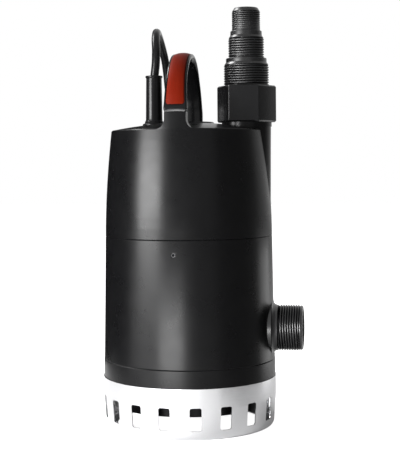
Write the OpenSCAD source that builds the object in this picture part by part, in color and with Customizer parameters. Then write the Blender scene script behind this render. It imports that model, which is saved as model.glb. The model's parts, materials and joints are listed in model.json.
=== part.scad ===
// Submersible drainage pump with a clip-on strainer, a carrying handle, a stepped
// hose adapter with a non-return flap, a closed side outlet and a rubber mains cord.
// Millimetres. +Z is up, the origin is on the pump's axis at the floor, the side
// outlet points along +X and the handle's front foot is at -Y.

/* [Body] */
// Outside radius of the outer sleeve at its foot
body_r = 80; // [74:0.5:88]
// How much the sleeve narrows up to the seam with the top cover
sleeve_draft = 1.8; // [0.5:0.1:3]
// How much the top cover's rim lies inside the sleeve's foot radius
rim_inset = 7.8; // [5:0.1:10]
// Height of the outer sleeve
sleeve_h = 113.6; // [105:0.5:130]
// Height of the top cover's wall
cover_h = 97.9; // [90:0.5:110]
// Rise of the domed top above the rim
dome_rise = 7.2; // [4:0.1:10]
// Wall of the moulded housings
wall = 3; // [2.5:0.1:3.5]

/* [Strainer] */
// Height of the strainer
strainer_h = 46; // [42:0.5:54]
// Sheet thickness of the strainer
strainer_sheet = 1; // [0.8:0.1:1.4]
// Radius of the bend between the strainer's wall and foot
strainer_bend = 4; // [3:0.1:5]
// Width of the flat foot that the strainer stands on
strainer_foot_w = 7; // [5:0.5:12]
// Number of windows
window_count = 18; // [12:1:20]
// Width of a window
window_w = 10.5; // [6:0.1:12]
// Height of a window
window_h = 20.3; // [12:0.1:24]
// Height of the window sills
window_sill = 8.8; // [7:0.1:12]
// Angle of the first window from the front
window_turn = 12.7; // [0:0.1:20]

/* [Pump] */
// Height of the base ring above the strainer
ring_h = 15.8; // [14:0.1:20]
// Height of the suction cover's underside
suction_z = 19.6; // [17:0.1:22]
// Outside radius of the impeller
impeller_r = 47; // [40:0.5:49]
// Number of impeller vanes
vane_count = 6; // [4:1:8]
// Outside radius of the impeller's inlet collar
eye_r = 22; // [20:0.5:24]
// Running gap between impeller and wear ring
running_gap = 0.3; // [0.2:0.05:0.5]

/* [Motor] */
// Outside radius of the motor can
can_r = 58; // [56:0.5:60]
// Sheet thickness of the motor can
can_sheet = 1.5; // [1:0.1:2]
// Length of the laminated stator
stator_h = 60; // [50:1:66]
// Bore radius of the stator
stator_bore_r = 31.5; // [29:0.1:33]
// Air gap between rotor and stator
air_gap = 0.4; // [0.3:0.05:0.6]
// Radius of the motor shaft in its lower bearing
shaft_r = 7.5; // [7:0.1:8]
// Radius of the motor shaft in its upper bearing
shaft_top_r = 6; // [5:0.1:6.5]

/* [Outlet] */
// Distance of the riser's axis inside the sleeve's foot radius
outlet_inset = 24.4; // [23:0.1:26]
// Outside radius of the riser at its collar
riser_r = 22.7; // [22:0.1:23.5]
// Width across flats of the hexagon
hex_flats = 48.1; // [46:0.1:54]
// Height of the hexagon
hex_h = 34; // [30:0.5:40]
// Radius over the crests of the large thread
thread_large_r = 20.955; // [20:0.005:21.5]
// Radius over the crests of the middle thread
thread_middle_r = 16.625; // [16:0.005:17]
// Radius over the crests of the small thread
thread_small_r = 13.22; // [12.5:0.005:13.5]
// Length of the large thread
thread_large_h = 20; // [16:0.5:24]
// Length of the middle thread
thread_middle_h = 19; // [15:0.5:24]
// Length of the small thread
thread_small_h = 18.5; // [14:0.5:24]

/* [Side outlet] */
// Height of the side outlet's axis
port_z = 90; // [88:0.5:110]
// Reach of the side outlet beyond the sleeve's foot radius
port_reach = 27; // [22:0.5:32]
// Radius of the collar at the side outlet's root
port_collar_r = 25.4; // [23:0.1:26]
// Bore radius of the side outlet
port_bore_r = 16.5; // [14:0.1:17]

/* [Handle] */
// Width of the handle at its feet
handle_w = 21.2; // [20:0.1:24]
// Width of the handle at its grip
handle_grip_w = 18.6; // [18:0.1:20]
// Height of the handle above its front foot
handle_h = 55.9; // [50:0.1:60]
// Distance from the front foot's face to the back foot
handle_span = 97; // [92:0.5:102]
// Distance from the front foot's face to the top of the arch
handle_apex = 50.5; // [45:0.5:55]
// Thickness of the handle
handle_t = 8; // [7:0.1:10]
// Width of the red inlay
inlay_w = 15.4; // [12:0.1:16]
// Reach of the red inlay behind the front foot's face
inlay_reach = 67; // [60:0.5:72]
// Depth of the inlay's pocket
inlay_t = 1.2; // [0.8:0.1:2]

/* [Cord] */
// Diameter of the mains cord
cord_d = 8; // [7:0.1:9]
// Radius of the cord entry sleeve
gland_r = 7.65; // [7:0.05:9]
// Height of the cord entry sleeve above the cover
gland_h = 48; // [40:0.1:52]

/* [Hidden] */
$fn = 96;
eps = 0.01;

// Heights of the outer pieces
lower_seam_z = strainer_h + ring_h;
upper_seam_z = lower_seam_z + sleeve_h;
rim_z = upper_seam_z + cover_h;
seam_r = body_r - sleeve_draft;
rim_r = body_r - rim_inset;
rim_bevel = 0.9;
seam_groove = 0.6;
cover_power = 1.8;
cover_steps = 10;
dome_steps = 8;
spigot_h = 9;
spigot_t = 2.2;
spigot_gap = 0.15;
o_ring_r = 1.2;

// Pump end
strainer_r = body_r + 0.6;
strainer_foot_r = body_r - 1;
strainer_lip_h = 1.2;
strainer_lip_out = 0.35;
window_corner = 1.8;
ring_r = body_r + 0.3;
skirt_top_r = body_r - 6;
skirt_foot_r = body_r - 8;
skirt_t = 2.5;
plate_t = 4;
volute_floor_z = suction_z + plate_t;
web_t = 4;
web_top_z = lower_seam_z - 1.8;
web_z = web_top_z - web_t;
volute_top_z = web_z;
screw_r = 2.4;
screw_head_r = 3.8;
screw_head_h = 2.5;
screw_head_gap = 0.3;
suction_cover_r = skirt_foot_r - skirt_t - 0.1;
screw_circle_r = suction_cover_r - screw_head_r - screw_head_gap - 0.5;
tongue_gap = 4;
volute_growth = screw_circle_r - 2.8 - impeller_r - tongue_gap;
volute_wall = 2.5;
volute_step = 10;
volute_mouth_angle = 336;
volute_mouth_w = 22;
screw_angles = [25, 115, 205, 295];
bracket_circle_r = impeller_r + tongue_gap - screw_head_r - 0.2;
eye_bore_r = eye_r + 2;
shroud_t = 2.5;
back_plate_t = 3;
impeller_z = suction_z + 10.4;
vane_h = 9.5;
impeller_back_z = impeller_z + shroud_t + vane_h;
hub_r = 11;
hub_top_z = impeller_back_z + 8;
vane_t = 2.4;
vane_sweep = 95;
vane_steps = 12;

// Motor
can_h = 176;
can_top_z = web_top_z + can_h;
can_bore_r = can_r - can_sheet;
bracket_r = can_bore_r - 0.2;
boss_r = 18;
boss_top_h = 4;
seal_r = 14;
seal_count = 2;
seal_h = 4;
seal_z = web_top_z - 7.5;
lower_ball_r = 3.4;
lower_bearing_r = 21;
lower_bearing_h = 13;
lower_bearing_z = web_top_z + 24;
lower_race_r = 14.15;
tower_r = 26;
upper_ball_r = 2.6;
upper_bearing_r = 16;
upper_bearing_h = 10;
upper_race_r = 10.95;
race_land = 2.6;
winding_h = 15;
stator_z = lower_bearing_z + lower_bearing_h + winding_h - 2;
stator_top_z = stator_z + stator_h;
upper_bracket_z = stator_top_z + winding_h + 5;
upper_bearing_z = upper_bracket_z - 5;
rotor_r = stator_bore_r - air_gap;
slot_count = 24;
slot_w = 3.5;
slot_top_r = 46;
winding_r = slot_top_r + 4;
slot_mouth_w = 1.5;
slot_mouth_h = 2;
bracket_top_z = upper_bracket_z + plate_t;
rotor_seat_r = 10;
switch_w = 8;
switch_h = 4.5;
nut_r = 12;
nut_h = 5;
block_h = 12;
end_ring_h = 6;
cap_r = 14;
cap_y = -30;
block_x = -24;
block_y = 28;

// Outlet and adapter
outlet_x = body_r - outlet_inset;
riser_top_z = rim_z + 7.7;
riser_foot_z = upper_seam_z + 3;
riser_foot_r = riser_r - 1.1;
riser_wall = 3;
riser_collar_h = 4;
riser_collar_out = 0.6;
stub_bore_r = 15.5;
stub_h = 18;
gasket_t = 2;
seat_t = 2;
seat_bore_r = 11;
seat_z = riser_top_z + stub_h + gasket_t;
seat_top_z = seat_z + seat_t;
chamber_r = 17.3;
hex_top_z = riser_top_z + hex_h;
large_top_z = hex_top_z + thread_large_h;
middle_z = large_top_z + 6;
middle_top_z = middle_z + thread_middle_h;
small_z = middle_top_z + 6.5;
small_top_z = small_z + thread_small_h;
adapter_top_z = small_top_z + 3;
shoulder_r = thread_large_r - 1.95;
neck_r = thread_middle_r - 1.97;
middle_bore_r = thread_middle_r - 3.4;
small_bore_r = thread_small_r - 3.2;
flap_r = 13.5;
flap_t = 2.4;
flap_gap = 0.3;
flap_pin_r = 1;
flap_pin_gap = 0.05;
flap_pin_x = outlet_x - 14.2;
flap_pin_z = seat_top_z + 2.6;
flap_knuckle_r = 2;
flap_knuckle_w = 8;
flap_lug_w = 1.7;

// Side outlet
port_end_x = body_r + port_reach;
port_chamfer = 1.5;
plug_t = 10;
plug_inset = 2;
port_flare = 5;
plug_ring_r = 1.3;

// Vent
vent_x = -1.2;
vent_drop = 12.9;
vent_z = upper_seam_z - vent_drop;
vent_r = 1.9;
vent_bore_r = 0.9;

// Cord entry in the top cover
gland_x = -34.2;
gland_y = 9;
gland_pocket_z = rim_z + 2.7;
gland_flange_r = 11;
gland_flange_z = gland_pocket_z + 5.3;
gland_top_z = gland_flange_z + gland_h - 2.2;
gland_boss_r = 14;
gland_boss_h = 14;
gland_shank_r = 6;
lid_t = 4;
lid_tube_r = 9;
lid_tube_bore_r = 6.6;
lid_tube_top_z = gland_pocket_z - 6;

// Handle
foot_w = handle_w - 1.6;
foot_top_z = rim_z + 15;
foot_depth = 11;
foot_fillet = 9;
handle_gap = 1.3;
handle_z = foot_top_z + handle_gap;
handle_front_y = -(rim_r - 0.4);
handle_apex_y = handle_front_y + handle_apex;
handle_arch_z = handle_z + 1.5;
handle_top_z = foot_top_z + handle_gap + handle_h;
handle_grip_z = handle_top_z - 21.5;
tenon_inset = 1.5;
tenon_h = 5;
back_boss_r = 30;
back_boss_top_r = 21;
back_boss_top_z = rim_z + 9.4;
back_boss_y = handle_front_y + handle_span - 6;

// Cord route, from the entry sleeve over the top and down behind the pump to the coil
lead_route = [[-33.6, 9, 327.2], [-32.4, 9, 338], [-32.2, 10, 347], [-32.5, 12, 353.5],
  [-34.1, 18.5, 362.5], [-35.4, 27.5, 369], [-37, 41, 372], [-38.3, 61, 367.5], [-37.8, 74.6, 358],
  [-36.8, 82, 348], [-36, 87, 336], [-35, 88.7, 322], [-33.5, 89, 304], [-32, 89, 284], [-30.5, 88.8, 264],
  [-29, 88, 242], [-28, 87, 218], [-28, 87, 194], [-28, 87, 168], [-28, 87, 142], [-28, 87.5, 116],
  [-28, 88, 92], [-27.5, 88.5, 70], [-25, 89, 50], [-19, 90, 32], [-9, 92.5, 17], [4, 97.5, 8],
  [17, 106, 5.5], [28, 117, 5.5]];
tail_route = [[4, 146, 38.5], [15, 154.5, 41.5], [25, 166.5, 45], [32, 181, 47], [35.5, 197, 48.5],
  [34.5, 213, 50.5], [28.5, 227.5, 53.5], [17, 238.5, 57], [4, 243.5, 59.5], [-8, 244, 60]];
cord_sides = 10;
coil_x = -27;
coil_y = 190;
coil_inner_r = 49.6;
coil_outer_r = 90.4;
coil_z = 1.5;
coil_top_z = 42.3;
coil_edge = 3;
tie_angles = [60, 180, 300];
tie_w = 9;
tie_t = 1.2;
plug_x = -8;
plug_y = 244;
plug_z = 60;
plug_r = 17.6;
plug_relief_l = 24;
plug_body_l = 34;
pin_r = 2.4;
pin_l = 19;
pin_spread = 9.5;

// Radius of the top cover's wall at a share t of its height
function cover_r(t) = seam_r - (seam_r - rim_r) * pow(t, cover_power);

// Outside radius of the sleeve at height z
function sleeve_r(z) = body_r - sleeve_draft * (z - lower_seam_z) / sleeve_h;

// Height of the domed top at a distance r from the pump's axis
function dome_z(r) = rim_z + rim_bevel + dome_rise * (1 - pow(r / (rim_r - rim_bevel), 2));

function unit(v) = v / norm(v);

// Direction of a route at point i
function heading(path, i) = unit(path[min(i + 1, len(path) - 1)] - path[max(i - 1, 0)]);

// A round ring of points across a route, turned from the direction aside
function ring_at(path, i, r, sides, aside) =
  let (along = heading(path, i), u = unit(cross(along, aside)), v = cross(along, u))
  [for (k = [0:sides - 1]) path[i] + r * (cos(360 * k / sides) * u + sin(360 * k / sides) * v)];

// A solid tube of radius r along a route
module sweep_tube(path, r, sides, aside) {
  last = len(path) - 1;
  points = [for (i = [0:last]) each ring_at(path, i, r, sides, aside)];
  walls = [for (i = [0:last - 1], k = [0:sides - 1])
    let (a = i * sides + k, b = i * sides + (k + 1) % sides)
    each [[a, b, b + sides], [a, b + sides, a + sides]]];
  start_cap = [for (k = [1:sides - 2]) [0, k + 1, k]];
  end_cap = [for (k = [1:sides - 2]) [last * sides, last * sides + k, last * sides + k + 1]];
  polyhedron(points, concat(walls, start_cap, end_cap));
}

// A plain ring about the pump's axis
module ring(outer, inner, z, h) {
  translate([0, 0, z])
    difference() {
      cylinder(h = h, r = outer);
      translate([0, 0, -1])
        cylinder(h = h + 2, r = inner);
    }
}

// The shape inside the top cover's outside, moved in by inset
module cover_solid(inset = 0) {
  drop = inset > 0 ? 1 : 0;
  side = [for (i = [0:cover_steps])
    [cover_r(i / cover_steps) - inset, upper_seam_z + (cover_h - inset) * i / cover_steps - (i == 0 ? drop : 0)]];
  dome = [for (i = [0:dome_steps])
    let (share = 1 - i / dome_steps)
    [(rim_r - inset - rim_bevel) * share, dome_z(share * (rim_r - rim_bevel)) - inset]];
  rotate_extrude()
    polygon(concat([[0, upper_seam_z - drop]], side, dome));
}

module sleeve_solid(inset = 0) {
  over = inset > 0 ? 1 : 0;
  rotate_extrude()
    polygon([[0, lower_seam_z - over], [body_r - inset, lower_seam_z - over], [seam_r - inset, upper_seam_z + over],
      [0, upper_seam_z + over]]);
}

// Fine chamfers on both sides of a seam
module seam_cut(r, z) {
  rotate_extrude()
    polygon([[r - seam_groove, z], [r + 1, z - seam_groove - 1], [r + 1, z + seam_groove + 1]]);
}

// Solid of the side outlet: a flared root, the thread's crests and a chamfered end
module port_solid() {
  flare = [for (a = [0:15:90])
    [thread_large_r + (port_collar_r - thread_large_r) * (1 - sin(a)), body_r - 1 + port_flare * (1 - cos(a))]];
  translate([0, 0, port_z])
    rotate([0, 90, 0])
      rotate_extrude()
        polygon(concat([[0, body_r - 12], [port_collar_r, body_r - 12]], flare,
          [[thread_large_r, port_end_x - port_chamfer], [thread_large_r - port_chamfer, port_end_x],
          [0, port_end_x]]));
}

module vent_cut(r, deeper) {
  translate([vent_x, -body_r + 8 + deeper, vent_z])
    rotate([90, 0, 0])
      cylinder(h = 20, r = r);
}

module outer_sleeve() {
  color([0.09, 0.09, 0.1])
    difference() {
      union() {
        sleeve_solid();
        port_solid();
      }
      sleeve_solid(wall);
      seam_cut(body_r, lower_seam_z);
      seam_cut(seam_r, upper_seam_z);
      translate([0, 0, port_z])
        rotate([0, 90, 0])
          translate([0, 0, body_r / 2])
            cylinder(h = body_r, r = port_bore_r);
      vent_cut(vent_r, 0);
    }
}

module vent_insert() {
  color([0.2, 0.2, 0.2])
    intersection() {
      difference() {
        vent_cut(vent_r, 0);
        vent_cut(vent_bore_r, 1);
        translate([vent_x, -body_r, vent_z])
          rotate([-90, 0, 0])
            cylinder(h = 3, r1 = vent_r + 0.6, r2 = vent_bore_r);
      }
      difference() {
        sleeve_solid(0.5);
        sleeve_solid(wall);
      }
    }
}

// Riser beside the dome, flared into a collar under the hexagon
module riser_solid() {
  translate([outlet_x, 0, 0]) {
    translate([0, 0, riser_foot_z])
      cylinder(h = riser_top_z - riser_foot_z, r1 = riser_foot_r, r2 = riser_r);
    translate([0, 0, riser_top_z - riser_collar_h])
      cylinder(h = riser_collar_h, r = riser_r + riser_collar_out);
    translate([0, 0, riser_top_z - eps])
      cylinder(h = stub_h + eps, r = thread_large_r);
  }
}

module riser_bore() {
  translate([outlet_x, 0, riser_foot_z + riser_wall])
    cylinder(h = riser_top_z - riser_foot_z - 4 * riser_wall, r1 = riser_foot_r - riser_wall, r2 = riser_r - riser_wall);
  translate([outlet_x, 0, riser_foot_z + riser_wall])
    cylinder(h = stub_h + riser_top_z - riser_foot_z, r = stub_bore_r);
}

// Raised front foot of the handle, with hollow fillets into the rim
module front_foot() {
  low_z = rim_z - 8;
  intersection() {
    translate([0, -rim_r + foot_depth, low_z])
      rotate([90, 0, 0])
        linear_extrude(height = foot_depth + 2)
          difference() {
            translate([-foot_w / 2 - foot_fillet, 0])
              square([foot_w + 2 * foot_fillet, foot_top_z - low_z]);
            for (side = [-1, 1])
              translate([side * (foot_w / 2 + foot_fillet), rim_z + foot_fillet - low_z]) {
                circle(r = foot_fillet);
                translate([-foot_fillet, 0])
                  square([2 * foot_fillet, foot_top_z]);
              }
          }
    cylinder(h = foot_top_z, r = rim_r);
  }
}

module back_boss() {
  translate([0, back_boss_y, rim_z])
    cylinder(h = back_boss_top_z - rim_z, r1 = back_boss_r, r2 = back_boss_top_r);
}

module top_cover() {
  color([0.09, 0.09, 0.1])
    difference() {
      union() {
        difference() {
          union() {
            cover_solid();
            riser_solid();
            front_foot();
            back_boss();
          }
          cover_solid(wall);
        }
        translate([gland_x, gland_y, gland_pocket_z - gland_boss_h])
          cylinder(h = gland_boss_h + 1, r = gland_boss_r);
        ring(seam_r - wall, seam_r - wall - spigot_t, upper_seam_z, wall);
        ring(seam_r - wall - spigot_gap, seam_r - wall - spigot_t, upper_seam_z - spigot_h, spigot_h);
      }
      riser_bore();
      seam_cut(seam_r, upper_seam_z);
      translate([gland_x, gland_y, gland_pocket_z])
        cylinder(h = 20, r = gland_flange_r);
      translate([gland_x, gland_y, gland_pocket_z - 20])
        cylinder(h = 21, r = gland_shank_r);
      translate([gland_x, gland_y, gland_pocket_z - 20])
        cylinder(h = 14, r = lid_tube_r + spigot_gap);
      handle_tenon(0);
    }
}

// Line at a depth under the handle's outside, from the front foot over the top to the back foot
function handle_outer(in) =
  let (front = handle_front_y + in, back = handle_front_y + handle_span - in, top = handle_top_z - in)
  concat([[front, handle_z]],
    [for (a = [0:7.5:82.5]) [handle_apex_y - (handle_apex_y - front) * cos(a),
      handle_arch_z + (top - handle_arch_z) * sin(a)]],
    [for (a = [90:-7.5:0]) [handle_apex_y + (back - handle_apex_y) * cos(a),
      handle_arch_z + (top - handle_arch_z) * sin(a)]],
    [[back, back_boss_top_z - 0.5]]);

module handle_tenon(inset) {
  translate([-foot_w / 2 + tenon_inset + inset, handle_front_y + tenon_inset + inset, foot_top_z - tenon_h])
    cube([foot_w - 2 * tenon_inset - 2 * inset, handle_t - 2 * tenon_inset - 2 * inset, tenon_h + handle_gap + 1]);
}

// Band along the handle's outside line between two depths, w wide
module handle_band(from_in, to_in, w) {
  outer = handle_outer(from_in);
  inner = handle_outer(to_in);
  count = len(outer);
  rotate([90, 0, 90])
    translate([0, 0, -w / 2])
      linear_extrude(height = w)
        polygon(concat(outer, [for (i = [count - 1:-1:0]) inner[i]]));
}

// Front view of the handle, tapered from its feet to its grip
module handle_front_view() {
  foot = handle_w / 2;
  grip = handle_grip_w / 2;
  low_z = back_boss_top_z - 2;
  high_z = handle_top_z + 1;
  translate([0, handle_front_y + handle_span + 1, 0])
    rotate([90, 0, 0])
      linear_extrude(height = handle_span + 2)
        polygon([[-foot, low_z], [foot, low_z], [foot, handle_arch_z], [grip, handle_grip_z], [grip, high_z],
          [-grip, high_z], [-grip, handle_grip_z], [-foot, handle_arch_z]]);
}

// Space that the red inlay fills, from just above the front foot to the start of the back leg
module inlay_space() {
  intersection() {
    handle_band(0, inlay_t, inlay_w);
    translate([-inlay_w / 2 - 1, handle_front_y - 1, handle_z + 5.2])
      cube([inlay_w + 2, inlay_reach + 1, handle_h]);
  }
}

module handle() {
  color([0.07, 0.07, 0.08]) {
    difference() {
      union() {
        intersection() {
          handle_band(0, handle_t, handle_w + 2);
          handle_front_view();
        }
        handle_tenon(0);
      }
      inlay_space();
      cover_solid();
      back_boss();
    }
  }
}

module handle_inlay() {
  color([0.55, 0.13, 0.06])
    inlay_space();
}

// Radius of the skirt at height z
function skirt_r(z) = skirt_foot_r + (skirt_top_r - skirt_foot_r) * (z - suction_z) / (strainer_h - suction_z);

module base_housing() {
  passage_count = 12;
  passage_r = 6;
  passage_circle_r = (can_r + body_r - wall) / 2;
  color([0.09, 0.09, 0.1])
    difference() {
      union() {
        ring(ring_r, ring_r - wall - 0.3, strainer_h, ring_h);
        ring(ring_r, skirt_top_r - skirt_t, strainer_h, wall);
        ring(body_r - wall - spigot_gap, body_r - wall - spigot_t - 1, web_top_z, spigot_h);
        ring(ring_r - wall, bracket_circle_r - 5, web_z, web_t);
        rotate_extrude()
          polygon([[skirt_foot_r - skirt_t, suction_z], [skirt_foot_r, suction_z], [skirt_top_r, strainer_h + 1],
            [skirt_top_r - skirt_t, strainer_h + 1]]);
      }
      seam_cut(ring_r, lower_seam_z);
      for (i = [0:passage_count - 1])
        rotate([0, 0, (i + 0.5) * 360 / passage_count])
          translate([passage_circle_r, 0, web_z - 1])
            cylinder(h = web_t + 2, r = passage_r);
      bracket_screw_places()
        translate([0, 0, web_z - 1])
          cylinder(h = web_t + 2, r = screw_r);
    }
}

module body_o_rings() {
  low_z = web_top_z + spigot_h + o_ring_r;
  high_z = upper_seam_z - spigot_h - o_ring_r;
  color([0.05, 0.05, 0.05])
    for (z = [low_z, high_z])
      rotate_extrude()
        translate([sleeve_r(z) - wall - o_ring_r - 0.05, z])
          circle(r = o_ring_r, $fn = 32);
}

module suction_screw_places() {
  for (angle = screw_angles)
    rotate([0, 0, angle])
      translate([screw_circle_r, 0, 0])
        children();
}

module bracket_screw_places() {
  for (i = [0:3])
    rotate([0, 0, 45 + 90 * i])
      translate([bracket_circle_r, 0, 0])
        children();
}

module suction_cover() {
  color([0.12, 0.12, 0.13])
    difference() {
      union() {
        ring(suction_cover_r, eye_bore_r, suction_z, plate_t);
        rotate_extrude()
          polygon([[eye_bore_r, suction_z], [eye_bore_r + 6, suction_z + plate_t], [eye_bore_r + 3, suction_z + plate_t + 4],
            [eye_bore_r, suction_z + plate_t + 4]]);
      }
      suction_screw_places() {
        translate([0, 0, suction_z - 1])
          cylinder(h = plate_t + 2, r = screw_r);
        translate([0, 0, suction_z - 1])
          cylinder(h = 1 + screw_head_h, r = screw_head_r + screw_head_gap);
      }
    }
}

module suction_cover_screws() {
  color([0.7, 0.7, 0.72])
    suction_screw_places()
      difference() {
        union() {
          translate([0, 0, suction_z])
            cylinder(h = screw_head_h, r = screw_head_r);
          translate([0, 0, suction_z])
            cylinder(h = plate_t + 12, r = screw_r);
        }
        translate([0, 0, suction_z - 1])
          cylinder(h = 2.6, r = 2, $fn = 6);
      }
}

module wear_ring() {
  color([0.75, 0.75, 0.77])
    ring(eye_bore_r, eye_r + running_gap, suction_z, plate_t + 4);
}

// Inside radius of the volute at an angle from its tongue
function volute_r(angle) = impeller_r + tongue_gap + volute_growth * angle / 360;

// Spiral outline of one turn, beginning at an angle
module volute_outline(extra, start) {
  polygon([for (angle = [start:volute_step:start + 360]) (volute_r(angle) + extra) * [cos(angle), sin(angle)]]);
}

module volute_casing() {
  cavity_h = volute_top_z - volute_floor_z - plate_t;
  boss_h = volute_top_z - volute_floor_z - 3;
  color([0.12, 0.12, 0.13])
    difference() {
      union() {
        translate([0, 0, volute_floor_z])
          linear_extrude(height = volute_top_z - volute_floor_z)
            volute_outline(volute_wall, volute_step);
        suction_screw_places()
          translate([0, 0, volute_floor_z])
            cylinder(h = boss_h, r = screw_r + 1.6);
        for (angle = screw_angles)
          rotate([0, 0, angle])
            translate([volute_r(angle) + 1, -volute_wall / 2, volute_floor_z + 1])
              cube([screw_circle_r - volute_r(angle) - 1, volute_wall, boss_h - 3]);
      }
      translate([0, 0, volute_floor_z - 1])
        linear_extrude(height = cavity_h + 1)
          volute_outline(0, 0);
      rotate([0, 0, volute_mouth_angle])
        translate([impeller_r + tongue_gap, -volute_mouth_w / 2, volute_floor_z - 1])
          cube([volute_growth + 10, volute_mouth_w, cavity_h + 1]);
      translate([0, 0, volute_floor_z])
        cylinder(h = volute_top_z, r = boss_r + 0.2);
      suction_screw_places()
        translate([0, 0, volute_floor_z - 1])
          cylinder(h = 14, r = screw_r);
      bracket_screw_places()
        translate([0, 0, volute_top_z - plate_t - 1])
          cylinder(h = plate_t + 2, r = screw_r);
    }
}

module motor_can() {
  color([0.75, 0.76, 0.78])
    ring(can_r, can_bore_r, web_top_z, can_h);
}

module motor_lid() {
  color([0.16, 0.16, 0.17])
    difference() {
      union() {
        ring(can_bore_r - 0.1, can_bore_r - 3, can_top_z - 6, 6 + eps);
        translate([0, 0, can_top_z])
          cylinder(h = lid_t, r1 = can_r, r2 = can_r - 2);
        translate([gland_x, gland_y, can_top_z])
          cylinder(h = lid_tube_top_z - can_top_z, r = lid_tube_r);
      }
      translate([gland_x, gland_y, can_top_z - 1])
        cylinder(h = lid_tube_top_z, r = lid_tube_bore_r);
    }
}

module lower_bracket() {
  rib_count = 8;
  rib_t = 3;
  tower_top = lower_bearing_z + lower_bearing_h;
  color([0.55, 0.56, 0.58])
    difference() {
      union() {
        translate([0, 0, web_top_z])
          cylinder(h = boss_top_h, r = bracket_r);
        translate([0, 0, web_top_z - 8])
          cylinder(h = 8 + eps, r = boss_r);
        translate([0, 0, web_top_z])
          cylinder(h = tower_top - web_top_z, r = tower_r);
        for (i = [0:rib_count - 1])
          rotate([0, 0, (i + 0.5) * 360 / rib_count])
            rotate([90, 0, 0])
              translate([0, 0, -rib_t / 2])
                linear_extrude(height = rib_t)
                  polygon([[tower_r - 1, web_top_z + 1], [bracket_r - 2, web_top_z + 1], [bracket_r - 2, web_top_z + 8],
                    [tower_r - 1, tower_top - 6]]);
      }
      translate([0, 0, web_top_z - 9])
        cylinder(h = 14, r = seal_r);
      translate([0, 0, web_top_z + 4])
        cylinder(h = lower_bearing_z - web_top_z - 3, r = lower_bearing_r - 2);
      translate([0, 0, lower_bearing_z])
        cylinder(h = lower_bearing_h + 1, r = lower_bearing_r);
      bracket_screw_places()
        translate([0, 0, web_top_z - 1])
          cylinder(h = boss_top_h + 2, r = screw_r);
    }
}

module bracket_screws() {
  color([0.7, 0.7, 0.72])
    bracket_screw_places() {
      translate([0, 0, web_z - plate_t - screw_head_h])
        cylinder(h = screw_head_h, r = screw_head_r);
      translate([0, 0, web_z - plate_t - 1])
        cylinder(h = plate_t + web_t + boss_top_h + 2, r = screw_r);
    }
}

module shaft_seals() {
  color([0.05, 0.05, 0.05])
    for (i = [0:seal_count - 1])
      ring(seal_r, shaft_r + 0.05, seal_z + i * (seal_h + 1), seal_h);
}

module upper_bracket() {
  color([0.55, 0.56, 0.58])
    difference() {
      union() {
        translate([0, 0, upper_bracket_z])
          cylinder(h = plate_t, r = bracket_r);
        translate([0, 0, upper_bearing_z - 1])
          cylinder(h = upper_bearing_h + 2.5, r = upper_bearing_r + 4);
      }
      translate([0, 0, upper_bearing_z - 2])
        cylinder(h = upper_bearing_h + 2, r = upper_bearing_r);
      for (i = [0:5])
        rotate([0, 0, 60 * i + 30])
          translate([40, 0, upper_bracket_z - 1])
            cylinder(h = plate_t + 2, r = 5);
    }
}

// One grooved ring of a ball bearing
module bearing_ring(outer, inner, z, h, race_r, ball_r) {
  difference() {
    ring(outer, inner, z, h);
    translate([0, 0, z + h / 2])
      rotate_extrude()
        translate([race_r, 0])
          circle(r = ball_r + 0.05, $fn = 32);
  }
}

module bearing_balls(z, h, race_r, ball_r, count) {
  for (i = [0:count - 1])
    rotate([0, 0, i * 360 / count])
      translate([race_r, 0, z + h / 2])
        sphere(r = ball_r, $fn = 32);
}

module lower_bearing_outer_ring() {
  color([0.8, 0.8, 0.82])
    bearing_ring(lower_bearing_r, lower_race_r + race_land, lower_bearing_z, lower_bearing_h, lower_race_r, lower_ball_r);
}

module lower_bearing_inner_ring() {
  color([0.8, 0.8, 0.82])
    bearing_ring(lower_race_r - race_land, shaft_r, lower_bearing_z, lower_bearing_h, lower_race_r, lower_ball_r);
}

module lower_bearing_balls() {
  color([0.9, 0.9, 0.92])
    bearing_balls(lower_bearing_z, lower_bearing_h, lower_race_r, lower_ball_r, 8);
}

module upper_bearing_outer_ring() {
  color([0.8, 0.8, 0.82])
    bearing_ring(upper_bearing_r, upper_race_r + 2, upper_bearing_z, upper_bearing_h, upper_race_r, upper_ball_r);
}

module upper_bearing_inner_ring() {
  color([0.8, 0.8, 0.82])
    bearing_ring(upper_race_r - 2, shaft_top_r, upper_bearing_z, upper_bearing_h, upper_race_r, upper_ball_r);
}

module upper_bearing_balls() {
  color([0.9, 0.9, 0.92])
    bearing_balls(upper_bearing_z, upper_bearing_h, upper_race_r, upper_ball_r, 8);
}

module stator_slots(w, top_r, z, h) {
  for (i = [0:slot_count - 1])
    rotate([0, 0, i * 360 / slot_count])
      translate([stator_bore_r + slot_mouth_h, -w / 2, z])
        cube([top_r - stator_bore_r - slot_mouth_h, w, h]);
}

module stator_core() {
  color([0.45, 0.46, 0.48])
    difference() {
      ring(can_bore_r, stator_bore_r, stator_z, stator_h);
      stator_slots(slot_w, slot_top_r, stator_z - 1, stator_h + 2);
      for (i = [0:slot_count - 1])
        rotate([0, 0, i * 360 / slot_count])
          translate([stator_bore_r - 1, -slot_mouth_w / 2, stator_z - 1])
            cube([slot_mouth_h + 2, slot_mouth_w, stator_h + 2]);
    }
}

module stator_windings() {
  inner_r = stator_bore_r + slot_mouth_h;
  bend = 3;
  color([0.6, 0.32, 0.12]) {
    for (z = [stator_z - winding_h, stator_top_z])
      rotate_extrude()
        polygon([[inner_r, z], [winding_r - bend, z], [winding_r, z + bend], [winding_r, z + winding_h - bend],
          [winding_r - bend, z + winding_h], [inner_r, z + winding_h]]);
    stator_slots(slot_w, slot_top_r, stator_z - eps, stator_h + 2 * eps);
  }
}

module thermal_switch() {
  color([0.85, 0.83, 0.75])
    translate([winding_r - 12, -switch_w / 2, stator_top_z + winding_h])
      cube([10, switch_w, switch_h]);
}

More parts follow.
